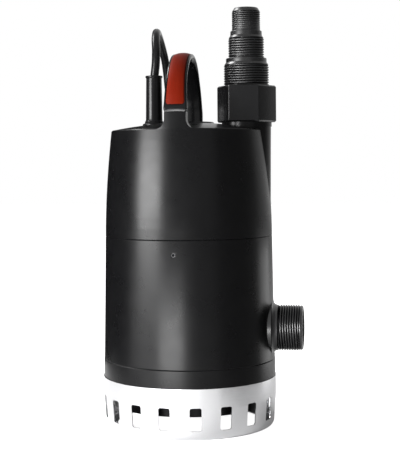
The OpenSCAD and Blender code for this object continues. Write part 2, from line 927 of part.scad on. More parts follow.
module capacitor() {
  cap_l = 66;
  color([0.88, 0.88, 0.86])
    translate([-cap_l / 2, cap_y, bracket_top_z + cap_r + 1])
      rotate([0, 90, 0]) {
        cylinder(h = cap_l, r = cap_r);
        translate([0, 0, cap_l - eps])
          cylinder(h = 3, r = 5);
      }
}

module capacitor_clip() {
  color([0.7, 0.7, 0.72])
    translate([-6, cap_y, bracket_top_z])
      difference() {
        union() {
          translate([0, -cap_r - 1, 0])
            cube([12, cap_r + 1, cap_r + 1]);
          translate([0, 0, cap_r + 1])
            rotate([0, 90, 0])
              cylinder(h = 12, r = cap_r + 1);
        }
        translate([-1, 0, cap_r + 1])
          rotate([0, 90, 0])
            cylinder(h = 14, r = cap_r);
      }
}

module terminal_block() {
  color([0.85, 0.83, 0.75])
    translate([block_x - 6, block_y - 7, bracket_top_z])
      difference() {
        cube([42, 14, block_h]);
        for (i = [0:3])
          translate([6 + 10 * i, 7, block_h - 7])
            cylinder(h = 8, r = 2.6);
      }
}

module internal_leads() {
  lead_r = 1.2;
  top_z = gland_pocket_z - 10;
  block_z = bracket_top_z + block_h;
  color([0.5, 0.3, 0.1])
    for (i = [0:2])
      sweep_tube([[gland_x + 3 * (i - 1), gland_y, top_z], [gland_x + 3 * (i - 1), gland_y, can_top_z - 2],
        [gland_x + 3 + 5 * i, gland_y + 7, block_z + 16], [block_x + 10 * i, block_y, block_z + 6],
        [block_x + 10 * i, block_y, block_z - 7]], lead_r, 8, [0.6, -0.8, 0]);
}

module cord_gland() {
  color([0.06, 0.06, 0.06])
    translate([gland_x, gland_y, 0]) {
      translate([0, 0, gland_pocket_z - 8])
        cylinder(h = 8 + eps, r = gland_shank_r);
      translate([0, 0, gland_pocket_z])
        cylinder(h = gland_flange_z - gland_pocket_z, r = gland_flange_r);
      translate([0, 0, gland_flange_z - eps])
        cylinder(h = 2, r1 = gland_flange_r - 1, r2 = gland_r);
      translate([0, 0, gland_flange_z - eps])
        cylinder(h = gland_top_z - gland_flange_z + eps, r = gland_r);
      translate([0, 0, gland_top_z - 1.8])
        cylinder(h = 1.8, r = gland_r + 0.5);
    }
}

module outlet_gasket() {
  color([0.04, 0.04, 0.04])
    translate([outlet_x, 0, 0])
      ring(thread_large_r, stub_bore_r, riser_top_z + stub_h, gasket_t);
}

// Stepped adapter: a hexagon, then three pipe threads, with the flap's chamber inside
module adapter() {
  corner_r = hex_flats / 2 / cos(30);
  bevel = 1.6;
  color([0.09, 0.09, 0.1])
    translate([outlet_x, 0, 0])
      difference() {
        union() {
          intersection() {
            translate([0, 0, riser_top_z])
              cylinder(h = hex_h, r = corner_r, $fn = 6);
            rotate_extrude()
              polygon([[0, riser_top_z], [corner_r - bevel, riser_top_z], [corner_r, riser_top_z + bevel],
                [corner_r, hex_top_z - bevel], [corner_r - bevel, hex_top_z], [0, hex_top_z]]);
          }
          rotate_extrude()
            polygon([[0, hex_top_z - 1], [thread_large_r, hex_top_z - 1], [thread_large_r, large_top_z],
              [shoulder_r, large_top_z + 2], [shoulder_r, middle_z], [thread_middle_r, middle_z],
              [thread_middle_r, middle_top_z], [neck_r, middle_top_z + 2], [neck_r, small_z],
              [thread_small_r, small_z], [thread_small_r, small_top_z], [thread_small_r - 2.3, adapter_top_z],
              [0, adapter_top_z]]);
        }
        translate([0, 0, riser_top_z - 1])
          cylinder(h = seat_top_z - riser_top_z + 1, r = thread_large_r);
        rotate_extrude()
          polygon([[0, seat_top_z - 1], [chamber_r, seat_top_z - 1], [chamber_r, large_top_z - 1],
            [middle_bore_r, middle_z - 1], [middle_bore_r, middle_top_z - 3], [small_bore_r, small_z - 2],
            [small_bore_r, adapter_top_z + 1], [0, adapter_top_z + 1]]);
      }
}

module flap_axis_place() {
  translate([flap_pin_x, 0, flap_pin_z])
    rotate([90, 0, 0])
      children();
}

module valve_seat() {
  lug_y = flap_knuckle_w / 2 + 0.3;
  color([0.3, 0.3, 0.3])
    difference() {
      union() {
        translate([outlet_x, 0, 0])
          ring(thread_large_r, seat_bore_r, seat_z, seat_t);
        for (side = [-1, 1])
          translate([flap_pin_x, side * (lug_y + flap_lug_w / 2), 0]) {
            translate([-1.6, -flap_lug_w / 2, seat_top_z - 0.5])
              cube([3.2, flap_lug_w, flap_pin_z - seat_top_z + 0.5]);
            translate([0, 0, flap_pin_z])
              rotate([90, 0, 0])
                translate([0, 0, -flap_lug_w / 2])
                  cylinder(h = flap_lug_w, r = 1.6);
          }
      }
      flap_axis_place()
        translate([0, 0, -10])
          cylinder(h = 20, r = flap_pin_r);
    }
}

module valve_pin() {
  pin_half = flap_knuckle_w / 2 + 0.3 + flap_lug_w;
  color([0.8, 0.8, 0.82])
    flap_axis_place()
      translate([0, 0, -pin_half])
        cylinder(h = 2 * pin_half, r = flap_pin_r);
}

module check_flap() {
  color([0.15, 0.15, 0.15])
    difference() {
      union() {
        translate([outlet_x + 0.3, 0, seat_top_z + flap_gap])
          cylinder(h = flap_t, r = flap_r);
        translate([flap_pin_x, -flap_knuckle_w / 2, seat_top_z + flap_gap + 0.6])
          cube([6, flap_knuckle_w, flap_t - 0.6]);
        flap_axis_place()
          translate([0, 0, -flap_knuckle_w / 2])
            cylinder(h = flap_knuckle_w, r = flap_knuckle_r);
      }
      flap_axis_place()
        translate([0, 0, -10])
          cylinder(h = 20, r = flap_pin_r + flap_pin_gap);
    }
}

module side_port_plug() {
  color([0.09, 0.09, 0.1])
    translate([port_end_x - plug_inset - plug_t, 0, port_z])
      rotate([0, 90, 0])
        difference() {
          cylinder(h = plug_t, r = port_bore_r);
          translate([0, 0, plug_t - 6])
            cylinder(h = 7, r = 7, $fn = 6);
          rotate_extrude()
            translate([port_bore_r, 2.5])
              circle(r = plug_ring_r, $fn = 32);
        }
}

module side_plug_o_ring() {
  color([0.04, 0.04, 0.04])
    translate([port_end_x - plug_inset - plug_t, 0, port_z])
      rotate([0, 90, 0])
        intersection() {
          rotate_extrude()
            translate([port_bore_r, 2.5])
              circle(r = plug_ring_r, $fn = 32);
          cylinder(h = plug_t, r = port_bore_r);
        }
}

module rotor_shaft() {
  color([0.78, 0.78, 0.8]) {
    translate([0, 0, impeller_z - 6])
      cylinder(h = stator_z - end_ring_h - impeller_z + 6 + eps, r = shaft_r);
    translate([0, 0, stator_z - end_ring_h])
      cylinder(h = stator_h + 2 * end_ring_h + eps, r = rotor_seat_r);
    translate([0, 0, stator_top_z + end_ring_h])
      cylinder(h = upper_bearing_z + upper_bearing_h - 0.5 - stator_top_z - end_ring_h, r = shaft_top_r);
  }
}

module rotor_core() {
  fin_count = 10;
  color([0.5, 0.51, 0.53]) {
    ring(rotor_r, rotor_seat_r, stator_z, stator_h);
    for (z = [stator_z - end_ring_h, stator_top_z])
      ring(rotor_r - 3, rotor_seat_r + 8, z, end_ring_h);
    for (i = [0:fin_count - 1])
      rotate([0, 0, i * 360 / fin_count])
        translate([rotor_seat_r + 9, -1, stator_top_z + end_ring_h - eps])
          cube([rotor_r - rotor_seat_r - 13, 2, 5]);
  }
}

// Centre line of an impeller vane, swept back as it runs out
function vane_point(share, side) =
  let (r = hub_r + 3 + (impeller_r - hub_r - 3.4) * share, angle = -vane_sweep * pow(share, 0.8),
    half = side * vane_t / 2 / r * 57.3 * 1.35)
  r * [cos(angle + half), sin(angle + half)];

module vane() {
  linear_extrude(height = vane_h + 2 * eps)
    polygon(concat([for (i = [0:vane_steps]) vane_point(i / vane_steps, 1)],
      [for (i = [vane_steps:-1:0]) vane_point(i / vane_steps, -1)]));
}

module impeller() {
  collar_h = impeller_z - volute_floor_z - 0.2;
  color([0.18, 0.18, 0.2])
    difference() {
      union() {
        ring(eye_r, eye_r - 2.6, impeller_z - collar_h, collar_h + shroud_t);
        ring(impeller_r, eye_r - 2.6, impeller_z, shroud_t);
        translate([0, 0, impeller_back_z])
          cylinder(h = back_plate_t, r = impeller_r);
        translate([0, 0, impeller_z + 1])
          cylinder(h = hub_top_z - impeller_z - 1, r = hub_r);
        for (i = [0:vane_count - 1])
          rotate([0, 0, i * 360 / vane_count])
            translate([0, 0, impeller_z + shroud_t - eps])
              vane();
      }
      translate([0, 0, impeller_z - 10])
        cylinder(h = hub_top_z - impeller_z + 20, r = shaft_r);
    }
}

module impeller_washer() {
  color([0.8, 0.8, 0.82])
    ring(hub_r - 0.5, shaft_r, impeller_z - 0.5, 1.5);
}

module impeller_nut() {
  color([0.8, 0.8, 0.82])
    difference() {
      translate([0, 0, impeller_z - nut_h - 0.5])
        cylinder(h = nut_h, r = nut_r, $fn = 6);
      translate([0, 0, impeller_z - nut_h - 2])
        cylinder(h = nut_h + 3, r = shaft_r);
    }
}

// Corner points of a window's outline, each corner rounded by four short chords
function window_outline() =
  let (x = window_w / 2 - window_corner, low = window_corner, high = window_h - window_corner)
  [for (corner = [[x, low, -90], [x, high, 0], [-x, high, 90], [-x, low, 180]], step = [0:22.5:90])
    [corner[0], corner[1]] + window_corner * [cos(corner[2] + step), sin(corner[2] + step)]];

// One window, cut outwards through the wall
module window_cut() {
  translate([strainer_foot_r - strainer_bend, 0, window_sill])
    rotate([90, 0, 90])
      linear_extrude(height = 2 * strainer_bend + 5)
        polygon(window_outline());
}

module strainer() {
  straight_z = 0.6 * strainer_h;
  foot_inner_r = strainer_foot_r - strainer_bend - strainer_foot_w;
  outer_bend = [for (a = [-90:15:0])
    [strainer_foot_r - strainer_bend + strainer_bend * cos(a), strainer_bend + strainer_bend * sin(a)]];
  inner_bend = [for (a = [0:-15:-90])
    let (r = strainer_bend - strainer_sheet)
    [strainer_foot_r - strainer_bend + r * cos(a), strainer_bend + r * sin(a)]];
  top_z = strainer_h - 0.3;
  color([0.82, 0.82, 0.84])
    difference() {
      rotate_extrude()
        polygon(concat([[foot_inner_r, 0]], outer_bend,
          [[strainer_r, straight_z], [strainer_r, top_z - strainer_lip_h],
          [strainer_r + strainer_lip_out, top_z - strainer_lip_h], [strainer_r + strainer_lip_out, top_z],
          [skirt_top_r + 1.2, top_z], [skirt_top_r + 1.2, top_z - strainer_sheet],
          [strainer_r - strainer_sheet, top_z - strainer_sheet], [strainer_r - strainer_sheet, straight_z]],
          inner_bend, [[foot_inner_r, strainer_sheet]]));
      for (i = [0:window_count - 1])
        rotate([0, 0, -90 + window_turn + i * 360 / window_count])
          window_cut();
    }
}

module cord_lead() {
  color([0.05, 0.05, 0.05])
    sweep_tube(lead_route, cord_d / 2, cord_sides, [0.707, -0.707, 0]);
}

module cord_tail() {
  color([0.05, 0.05, 0.05])
    sweep_tube(tail_route, cord_d / 2, cord_sides, [0, 0, 1]);
}

// Outline of the coil's section, grown by extra
module coil_section(extra) {
  polygon([[coil_inner_r - extra, coil_z + coil_edge], [coil_inner_r + coil_edge, coil_z - extra],
    [coil_outer_r - coil_edge, coil_z - extra], [coil_outer_r + extra, coil_z + coil_edge],
    [coil_outer_r + extra, coil_top_z - coil_edge], [coil_outer_r - coil_edge, coil_top_z + extra],
    [coil_inner_r + coil_edge, coil_top_z + extra], [coil_inner_r - extra, coil_top_z - coil_edge]]);
}

module cord_coil() {
  color([0.05, 0.05, 0.05])
    translate([coil_x, coil_y, 0])
      rotate_extrude()
        coil_section(0);
}

module coil_ties() {
  color([0.2, 0.2, 0.2])
    translate([coil_x, coil_y, 0])
      for (angle = tie_angles)
        rotate([0, 0, angle])
          difference() {
            rotate([90, 0, 0])
              translate([0, 0, -tie_w / 2])
                linear_extrude(height = tie_w)
                  coil_section(tie_t);
            rotate_extrude()
              coil_section(0.05);
          }
}

module mains_plug() {
  body_x = plug_relief_l;
  end_x = plug_relief_l + plug_body_l;
  color([0.06, 0.06, 0.06])
    translate([plug_x, plug_y, plug_z])
      rotate([0, -90, 0])
        rotate_extrude()
          polygon([[0, 0], [cord_d / 2 + 1, 0], [cord_d / 2 + 3.5, body_x], [plug_r - 5, body_x + 3],
            [plug_r, body_x + 10], [plug_r, end_x - 1], [plug_r - 1, end_x], [0, end_x]]);
}

module plug_pins() {
  color([0.8, 0.7, 0.45])
    for (side = [-1, 1])
      translate([plug_x - plug_relief_l - plug_body_l, plug_y + side * pin_spread, plug_z])
        rotate([0, -90, 0]) {
          cylinder(h = pin_l - 2, r = pin_r);
          translate([0, 0, pin_l - 2 - eps])
            cylinder(h = 2, r1 = pin_r, r2 = pin_r - 1.2);
        }
}

outer_sleeve();
top_cover();
handle();
handle_inlay();
base_housing();
suction_cover();
suction_cover_screws();
wear_ring();
volute_casing();
body_o_rings();
motor_can();
motor_lid();
lower_bracket();
bracket_screws();
upper_bracket();
shaft_seals();
stator_core();
stator_windings();
thermal_switch();
lower_bearing_outer_ring();
upper_bearing_outer_ring();
capacitor();
capacitor_clip();
terminal_block();
internal_leads();
vent_insert();
cord_gland();
outlet_gasket();
adapter();
valve_seat();
valve_pin();
side_port_plug();
side_plug_o_ring();
rotor_shaft();
rotor_core();
lower_bearing_inner_ring();
lower_bearing_balls();
upper_bearing_inner_ring();
upper_bearing_balls();
impeller();
impeller_washer();
impeller_nut();
check_flap();
strainer();
cord_lead();
cord_coil();
cord_tail();
mains_plug();
plug_pins();
coil_ties();
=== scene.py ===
"""Studio scene of a submersible drainage pump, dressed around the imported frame."""

import json
import math

import bmesh
import bpy
from mathutils import Matrix, Vector


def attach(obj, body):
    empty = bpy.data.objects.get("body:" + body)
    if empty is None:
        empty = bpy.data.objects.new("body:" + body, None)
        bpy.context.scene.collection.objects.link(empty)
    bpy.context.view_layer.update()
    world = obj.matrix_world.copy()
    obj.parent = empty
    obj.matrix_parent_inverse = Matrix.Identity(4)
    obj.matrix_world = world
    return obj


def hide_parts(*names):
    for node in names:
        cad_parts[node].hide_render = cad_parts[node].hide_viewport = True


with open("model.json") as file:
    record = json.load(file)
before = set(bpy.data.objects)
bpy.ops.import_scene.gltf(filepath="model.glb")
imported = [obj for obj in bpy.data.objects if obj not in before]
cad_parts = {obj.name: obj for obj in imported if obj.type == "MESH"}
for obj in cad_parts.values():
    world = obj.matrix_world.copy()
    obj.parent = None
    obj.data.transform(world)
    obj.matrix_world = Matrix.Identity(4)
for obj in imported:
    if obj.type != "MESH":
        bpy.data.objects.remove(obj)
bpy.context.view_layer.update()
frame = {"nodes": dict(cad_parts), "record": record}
NODES = frame["nodes"]

MM = 0.001
TURN = 2 * math.pi


# Camera, at the photograph's viewing angle
CAMERA_AZIMUTH = 9.4
CAMERA_DISTANCE = 1.062
CAMERA_HEIGHT = 0.240
CAMERA_ROLL = -0.44
CAMERA_FOCAL_PX = 1126.0
SENSOR_MM = 36
PHOTO_HEIGHT_PX = 450
PHOTO_WIDTH_PX = 400
AXIS_PX = 188.4
HORIZON_PX = 166.8


def add_camera():
    """The photograph's camera, as fitted to the pump's outline and seams."""
    data = bpy.data.cameras.new("camera")
    data.sensor_width = SENSOR_MM
    data.lens = data.sensor_width * CAMERA_FOCAL_PX / PHOTO_HEIGHT_PX
    data.shift_x = (PHOTO_WIDTH_PX / 2 - AXIS_PX) / PHOTO_HEIGHT_PX
    data.shift_y = -(PHOTO_HEIGHT_PX / 2 - HORIZON_PX) / PHOTO_HEIGHT_PX
    data.clip_start = 0.05
    data.clip_end = 20
    camera = bpy.data.objects.new("camera", data)
    bpy.context.scene.collection.objects.link(camera)
    turn = math.radians(CAMERA_AZIMUTH)
    camera.location = (
        CAMERA_DISTANCE * math.sin(turn),
        -CAMERA_DISTANCE * math.cos(turn),
        CAMERA_HEIGHT,
    )
    camera.rotation_euler = (
        Matrix.Rotation(turn, 4, "Z")
        @ Matrix.Rotation(math.pi / 2, 4, "X")
        @ Matrix.Rotation(math.radians(CAMERA_ROLL), 4, "Z")
    ).to_euler()
    bpy.context.scene.camera = camera


add_camera()


# Mesh helpers
MERGE_DISTANCE = 1e-7


def mesh_object(name, verts, faces, smooth_angle=40):
    """A mesh with outward faces, smooth where neighbouring faces meet at less than the angle."""
    mesh = bpy.data.meshes.new(name)
    mesh.from_pydata([tuple(v) for v in verts], [], faces)
    build = bmesh.new()
    build.from_mesh(mesh)
    bmesh.ops.remove_doubles(build, verts=build.verts, dist=MERGE_DISTANCE)
    bmesh.ops.recalc_face_normals(build, faces=build.faces)
    limit = math.radians(smooth_angle)
    for face in build.faces:
        face.smooth = True
    for edge in build.edges:
        edge.smooth = len(edge.link_faces) == 2 and edge.calc_face_angle() < limit
    build.to_mesh(mesh)
    build.free()
    piece = bpy.data.objects.new(name, mesh)
    bpy.context.scene.collection.objects.link(piece)
    return piece


def loft(name, rings, closed=False, smooth_angle=40):
    """Skins rings of equal counts. An open run is capped at both ends, a closed one meets itself."""
    count = len(rings[0])
    verts = [p for ring in rings for p in ring]
    faces = []
    for i in range(len(rings) if closed else len(rings) - 1):
        a = i * count
        b = ((i + 1) % len(rings)) * count
        faces += [(a + k, a + (k + 1) % count, b + (k + 1) % count, b + k) for k in range(count)]
    if not closed:
        faces.append(tuple(range(count)))
        faces.append(tuple(range(len(verts) - count, len(verts))))
    return mesh_object(name, verts, faces, smooth_angle)


def circle_ring(radius, z, segments):
    """Points around the vertical axis."""
    ring = []
    for k in range(segments):
        angle = TURN * k / segments
        ring.append(Vector((radius * math.cos(angle), radius * math.sin(angle), z)))
    return ring


def revolve(name, profile, segments, closed=True, smooth_angle=40):
    """Turns (radius, height) points in millimetres about a vertical axis."""
    rings = [circle_ring(r * MM, z * MM, segments) for r, z in profile]
    return loft(name, rings, closed, smooth_angle)


def turn_to_x(piece, z):
    """Lays a piece made about +Z along +X, with its axis at height z in metres."""
    piece.data.transform(Matrix.Translation((0, 0, z)) @ Matrix.Rotation(math.pi / 2, 4, "Y"))
    return piece


def join(pieces, name):
    """Merges meshes into one piece, whose faces stay in the order of the pieces."""
    build = bmesh.new()
    for piece in pieces:
        build.from_mesh(piece.data)
    mesh = bpy.data.meshes.new(name)
    build.to_mesh(mesh)
    build.free()
    for piece in pieces:
        data = piece.data
        bpy.data.objects.remove(piece)
        bpy.data.meshes.remove(data)
    merged = bpy.data.objects.new(name, mesh)
    bpy.context.scene.collection.objects.link(merged)
    return merged


def smooth_step(share):
    """Runs from 0 to 1 with a soft start and end."""
    share = min(1.0, max(0.0, share))
    return share * share * (3 - 2 * share)


def edge_drop(radius, inside):
    """How far a rounded edge falls away at a distance inside it."""
    if inside >= radius:
        return 0.0
    return radius - math.sqrt(max(0.0, radius ** 2 - (radius - inside) ** 2))


# Materials: the drift noise changes colour and gloss, the grain noise changes height
DRIFT_SCALE = 60
DRIFT_DETAIL = 4.0
DRIFT_LOW = 0.35
DRIFT_HIGH = 0.65
GRAIN_DETAIL = 2.0
GRAIN_HEIGHT = 0.0002


def principled(name):
    """A new material with its shader node."""
    material = bpy.data.materials.new(name)
    material.use_nodes = True
    return material, material.node_tree.nodes["Principled BSDF"]


def add_noise(tree, scale, detail, stretch):
    """Noise in the piece's own coordinates, squeezed along the axes with a stretch above 1."""
    place = tree.nodes.new("ShaderNodeTexCoord")
    mapping = tree.nodes.new("ShaderNodeMapping")
    mapping.inputs["Scale"].default_value = stretch
    texture = tree.nodes.new("ShaderNodeTexNoise")
    texture.inputs["Scale"].default_value = scale
    texture.inputs["Detail"].default_value = detail
    tree.links.new(place.outputs["Object"], mapping.inputs["Vector"])
    tree.links.new(mapping.outputs["Vector"], texture.inputs["Vector"])
    return texture.outputs["Fac"]


def ramp_between(tree, factor, low, high):
    """Maps the drift noise to a grey from low to high."""
    node = tree.nodes.new("ShaderNodeMapRange")
    node.inputs["From Min"].default_value = DRIFT_LOW
    node.inputs["From Max"].default_value = DRIFT_HIGH
    node.inputs["To Min"].default_value = low
    node.inputs["To Max"].default_value = high
    tree.links.new(factor, node.inputs["Value"])
    return node.outputs["Result"]


def mix_colours(tree, factor, low, high):
    """A colour between low and high, as the factor says."""
    node = tree.nodes.new("ShaderNodeMix")
    node.data_type = "RGBA"
    node.inputs["A"].default_value = (*low, 1)
    node.inputs["B"].default_value = (*high, 1)
    tree.links.new(factor, node.inputs["Factor"])
    return node.outputs["Result"]


def add_bump(tree, shader, height, strength):
    """Lets a noise value tilt the surface a little."""
    node = tree.nodes.new("ShaderNodeBump")
    node.inputs["Strength"].default_value = strength
    node.inputs["Distance"].default_value = GRAIN_HEIGHT
    tree.links.new(height, node.inputs["Height"])
    tree.links.new(node.outputs["Normal"], shader.inputs["Normal"])


def surface(name, low, high, rough, metallic=0.0, specular=0.5, grain=900, bump=0.05,
            stretch=(1, 1, 1)):
    """A surface whose colour and roughness drift a little, with a fine grain in its height."""
    material, shader = principled(name)
    tree = material.node_tree
    drift = add_noise(tree, DRIFT_SCALE, DRIFT_DETAIL, stretch)
    fine = add_noise(tree, grain, GRAIN_DETAIL, stretch)
    tree.links.new(mix_colours(tree, drift, low, high), shader.inputs["Base Color"])
    tree.links.new(ramp_between(tree, drift, rough[0], rough[1]), shader.inputs["Roughness"])
    add_bump(tree, shader, fine, bump)
    shader.inputs["Metallic"].default_value = metallic
    shader.inputs["Specular IOR Level"].default_value = specular
    return material


LOOKS = {
    "housing_black": dict(
        low=(0.0018, 0.0018, 0.0020), high=(0.0024, 0.0024, 0.0026), rough=(0.27, 0.31),
        specular=0.11, bump=0.03),
    "handle_black": dict(
        low=(0.0020, 0.0020, 0.0022), high=(0.0028, 0.0028, 0.0030), rough=(0.17, 0.21),
        specular=0.17, bump=0.01),
    "inlay_red": dict(
        low=(0.078, 0.0050, 0.0014), high=(0.098, 0.0068, 0.0019), rough=(0.44, 0.52), specular=0.03,
        grain=1600, bump=0.06),
    "adapter_black": dict(
        low=(0.0035, 0.0035, 0.0038), high=(0.0050, 0.0050, 0.0053), rough=(0.29, 0.34),
        specular=0.38, bump=0.003),
    "hexagon_black": dict(
        low=(0.0035, 0.0035, 0.0038), high=(0.0045, 0.0045, 0.0048), rough=(0.20, 0.25),
        specular=0.17, bump=0.006),
    "port_black": dict(
        low=(0.0025, 0.0025, 0.0028), high=(0.0034, 0.0034, 0.0037), rough=(0.27, 0.31),
        specular=0.6, bump=0.003),
    "inner_plastic": dict(low=(0.02, 0.02, 0.022), high=(0.03, 0.03, 0.032), rough=(0.45, 0.55)),
    "strainer_steel": dict(
        low=(0.54, 0.54, 0.55), high=(0.57, 0.57, 0.58), rough=(0.22, 0.26), metallic=1.0, grain=500,
        stretch=(1, 1, 12), bump=0.008),
    "stainless_can": dict(
        low=(0.6, 0.6, 0.61), high=(0.68, 0.68, 0.69), rough=(0.25, 0.35), metallic=1.0, stretch=(1, 1, 8)),
    "stainless_screws": dict(
        low=(0.58, 0.58, 0.59), high=(0.66, 0.66, 0.67), rough=(0.22, 0.32), metallic=1.0),
    "bearing_steel": dict(low=(0.7, 0.7, 0.71), high=(0.76, 0.76, 0.77), rough=(0.08, 0.16), metallic=1.0),
    "laminated_steel": dict(
        low=(0.2, 0.2, 0.21), high=(0.3, 0.3, 0.31), rough=(0.4, 0.55), metallic=1.0, stretch=(1, 1, 30)),
    "cast_aluminium": dict(
        low=(0.45, 0.45, 0.46), high=(0.55, 0.55, 0.56), rough=(0.45, 0.6), metallic=1.0, bump=0.15),
    "copper_wire": dict(
        low=(0.42, 0.15, 0.05), high=(0.55, 0.22, 0.08), rough=(0.25, 0.4), metallic=1.0,
        stretch=(1, 1, 20)),
    "light_plastic": dict(low=(0.62, 0.6, 0.52), high=(0.7, 0.68, 0.6), rough=(0.45, 0.55)),
    "seal_rubber": dict(
        low=(0.006, 0.006, 0.006), high=(0.009, 0.009, 0.009), rough=(0.5, 0.6), specular=0.2),
    "cord_rubber": dict(
        low=(0.0035, 0.0035, 0.0038), high=(0.0050, 0.0050, 0.0053), rough=(0.22, 0.27),
        specular=0.10, bump=0.003),
    "pin_brass": dict(low=(0.66, 0.62, 0.52), high=(0.74, 0.7, 0.6), rough=(0.15, 0.25), metallic=1.0),
    "tie_fabric": dict(
        low=(0.014, 0.014, 0.015), high=(0.03, 0.03, 0.03), rough=(0.8, 0.95), grain=2500, bump=0.6),
}
MATERIALS = {name: surface(name, **look) for name, look in LOOKS.items()}
SLOTS = {row["node"]: row["material_slot"] for row in frame["record"]["subparts"]}


def dress(piece, slot):
    """Gives a piece one material. Its faces lose any other."""
    piece.data.materials.clear()
    piece.data.materials.append(MATERIALS[slot])


def add_second_material(piece, material_name, faces):
    """Gives some faces of a dressed piece another material."""
    piece.data.materials.append(MATERIALS[material_name])
    for face in faces:
        face.material_index = 1


for node_name, node_object in NODES.items():
    dress(node_object, SLOTS[node_name])


def keep(piece, slot, body, *nodes):
    """Gives a piece its material and body, and hides the CAD nodes it stands for."""
    dress(piece, slot)
    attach(piece, body)
    if nodes:
        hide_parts(*nodes)
    return piece


# Mains cord: the same route as its CAD tube, in millimetres
CORD_DIAMETER = 8.0
CORD_POINTS_PER_SPAN = 4
CORD_ROUNDNESS = 5
LEAD_ROUTE = [
    (-33.6, 9, 327.2), (-32.4, 9, 338), (-32.2, 10, 347), (-32.5, 12, 353.5), (-34.1, 18.5, 362.5),
    (-35.4, 27.5, 369), (-37, 41, 372), (-38.3, 61, 367.5), (-37.8, 74.6, 358), (-36.8, 82, 348),
    (-36, 87, 336), (-35, 88.7, 322), (-33.5, 89, 304), (-32, 89, 284), (-30.5, 88.8, 264), (-29, 88, 242),
    (-28, 87, 218), (-28, 87, 194), (-28, 87, 168), (-28, 87, 142), (-28, 87.5, 116), (-28, 88, 92),
    (-27.5, 88.5, 70), (-25, 89, 50), (-19, 90, 32), (-9, 92.5, 17), (4, 97.5, 8), (17, 106, 5.5),
]
TAIL_ROUTE = [
    (15, 154.5, 41.5), (25, 166.5, 45), (32, 181, 47), (35.5, 197, 48.5), (34.5, 213, 50.5),
    (28.5, 227.5, 53.5), (17, 238.5, 57), (4, 243.5, 59.5), (-8, 244, 60),
]
COIL_CENTRE = (-27, 190)
COIL_LOW_Z = 5.5
COIL_OUTER_R = 86.4
COIL_STEP = 8.2
COIL_COLUMNS = 5
COIL_TURNS_PER_COLUMN = 4
COIL_SHIFT_TURNS = 0.25
COIL_START_DEG = -54.0
COIL_POINTS_PER_TURN = 36


def coil_points():
    """Turns wound column by column: up the outer one, down the next, with a short shift between."""
    points = []
    length = COIL_COLUMNS * COIL_TURNS_PER_COLUMN + (COIL_COLUMNS - 1) * COIL_SHIFT_TURNS
    period = COIL_TURNS_PER_COLUMN + COIL_SHIFT_TURNS
    top = COIL_STEP * COIL_TURNS_PER_COLUMN
    steps = round(length * COIL_POINTS_PER_TURN)
    for i in range(steps + 1):
        wound = i / COIL_POINTS_PER_TURN
        column = min(int(wound / period), COIL_COLUMNS - 1)
        inside = wound - column * period
        shift = smooth_step((inside - COIL_TURNS_PER_COLUMN) / COIL_SHIFT_TURNS)
        radius = COIL_OUTER_R - COIL_STEP * (column + shift)
        climb = COIL_STEP * min(inside, COIL_TURNS_PER_COLUMN)
        height = climb if column % 2 == 0 else top - climb
        angle = math.radians(COIL_START_DEG) + TURN * wound
        x = COIL_CENTRE[0] + radius * math.cos(angle)
        y = COIL_CENTRE[1] + radius * math.sin(angle)
        points.append((x, y, COIL_LOW_Z + height))
    return points


def spline_through(points, per_span):
    """Points along a smooth line through given ones."""
    line = []
    for i in range(len(points) - 1):
        before = Vector(points[max(i - 1, 0)])
        start = Vector(points[i])
        end = Vector(points[i + 1])
        after = Vector(points[min(i + 2, len(points) - 1)])
        slope = end - before
        bend = 2 * before - 5 * start + 4 * end - after
        twist = 3 * start - before - 3 * end + after
        for step in range(per_span):
            t = step / per_span
            line.append(0.5 * ((2 * start) + slope * t + bend * t * t + twist * t ** 3))
    line.append(Vector(points[-1]))
    return line


def make_cord():
    """The cord as one round curve, which carries its plug, the plug's pins and the coil's bands."""
    span = CORD_POINTS_PER_SPAN
    turns = coil_points()
    # Each route takes in two points of the coil to meet it smoothly, and leaves the span between them to it
    lead = spline_through(LEAD_ROUTE + turns[:2], span)[:-span]
    tail = spline_through(turns[-2:] + TAIL_ROUTE, span)[span:]
    line = [Vector(p) for p in lead + turns + tail[1:]]
    data = bpy.data.curves.new("mains_cord", "CURVE")
    data.dimensions = "3D"
    data.bevel_depth = CORD_DIAMETER / 2 * MM
    data.bevel_resolution = CORD_ROUNDNESS
    data.use_fill_caps = True
    spline = data.splines.new("POLY")
    spline.points.add(len(line) - 1)
    for point, place in zip(spline.points, line):
        point.co = (*(place * MM), 1)
    spline.use_smooth = True
    piece = bpy.data.objects.new("mains_cord", data)
    bpy.context.scene.collection.objects.link(piece)
    keep(piece, "cord_rubber", "housing", "cord_lead", "cord_coil", "cord_tail")
    make_plug()
    make_pins()
    make_ties()


# Pipe threads of 1 1/4, 1 and 3/4 inch, in millimetres
LARGE_THREAD_R = 20.955
MIDDLE_THREAD_R = 16.625
SMALL_THREAD_R = 13.22
PITCH_LARGE = 2.309
PITCH_SMALL = 1.814
THREAD_DEPTH_PER_PITCH = 0.64
THREAD_SEGMENTS = 120
THREAD_POINTS = 8
THREAD_SMOOTH_ANGLE = 35
FLANK_STEEPNESS = 1.8


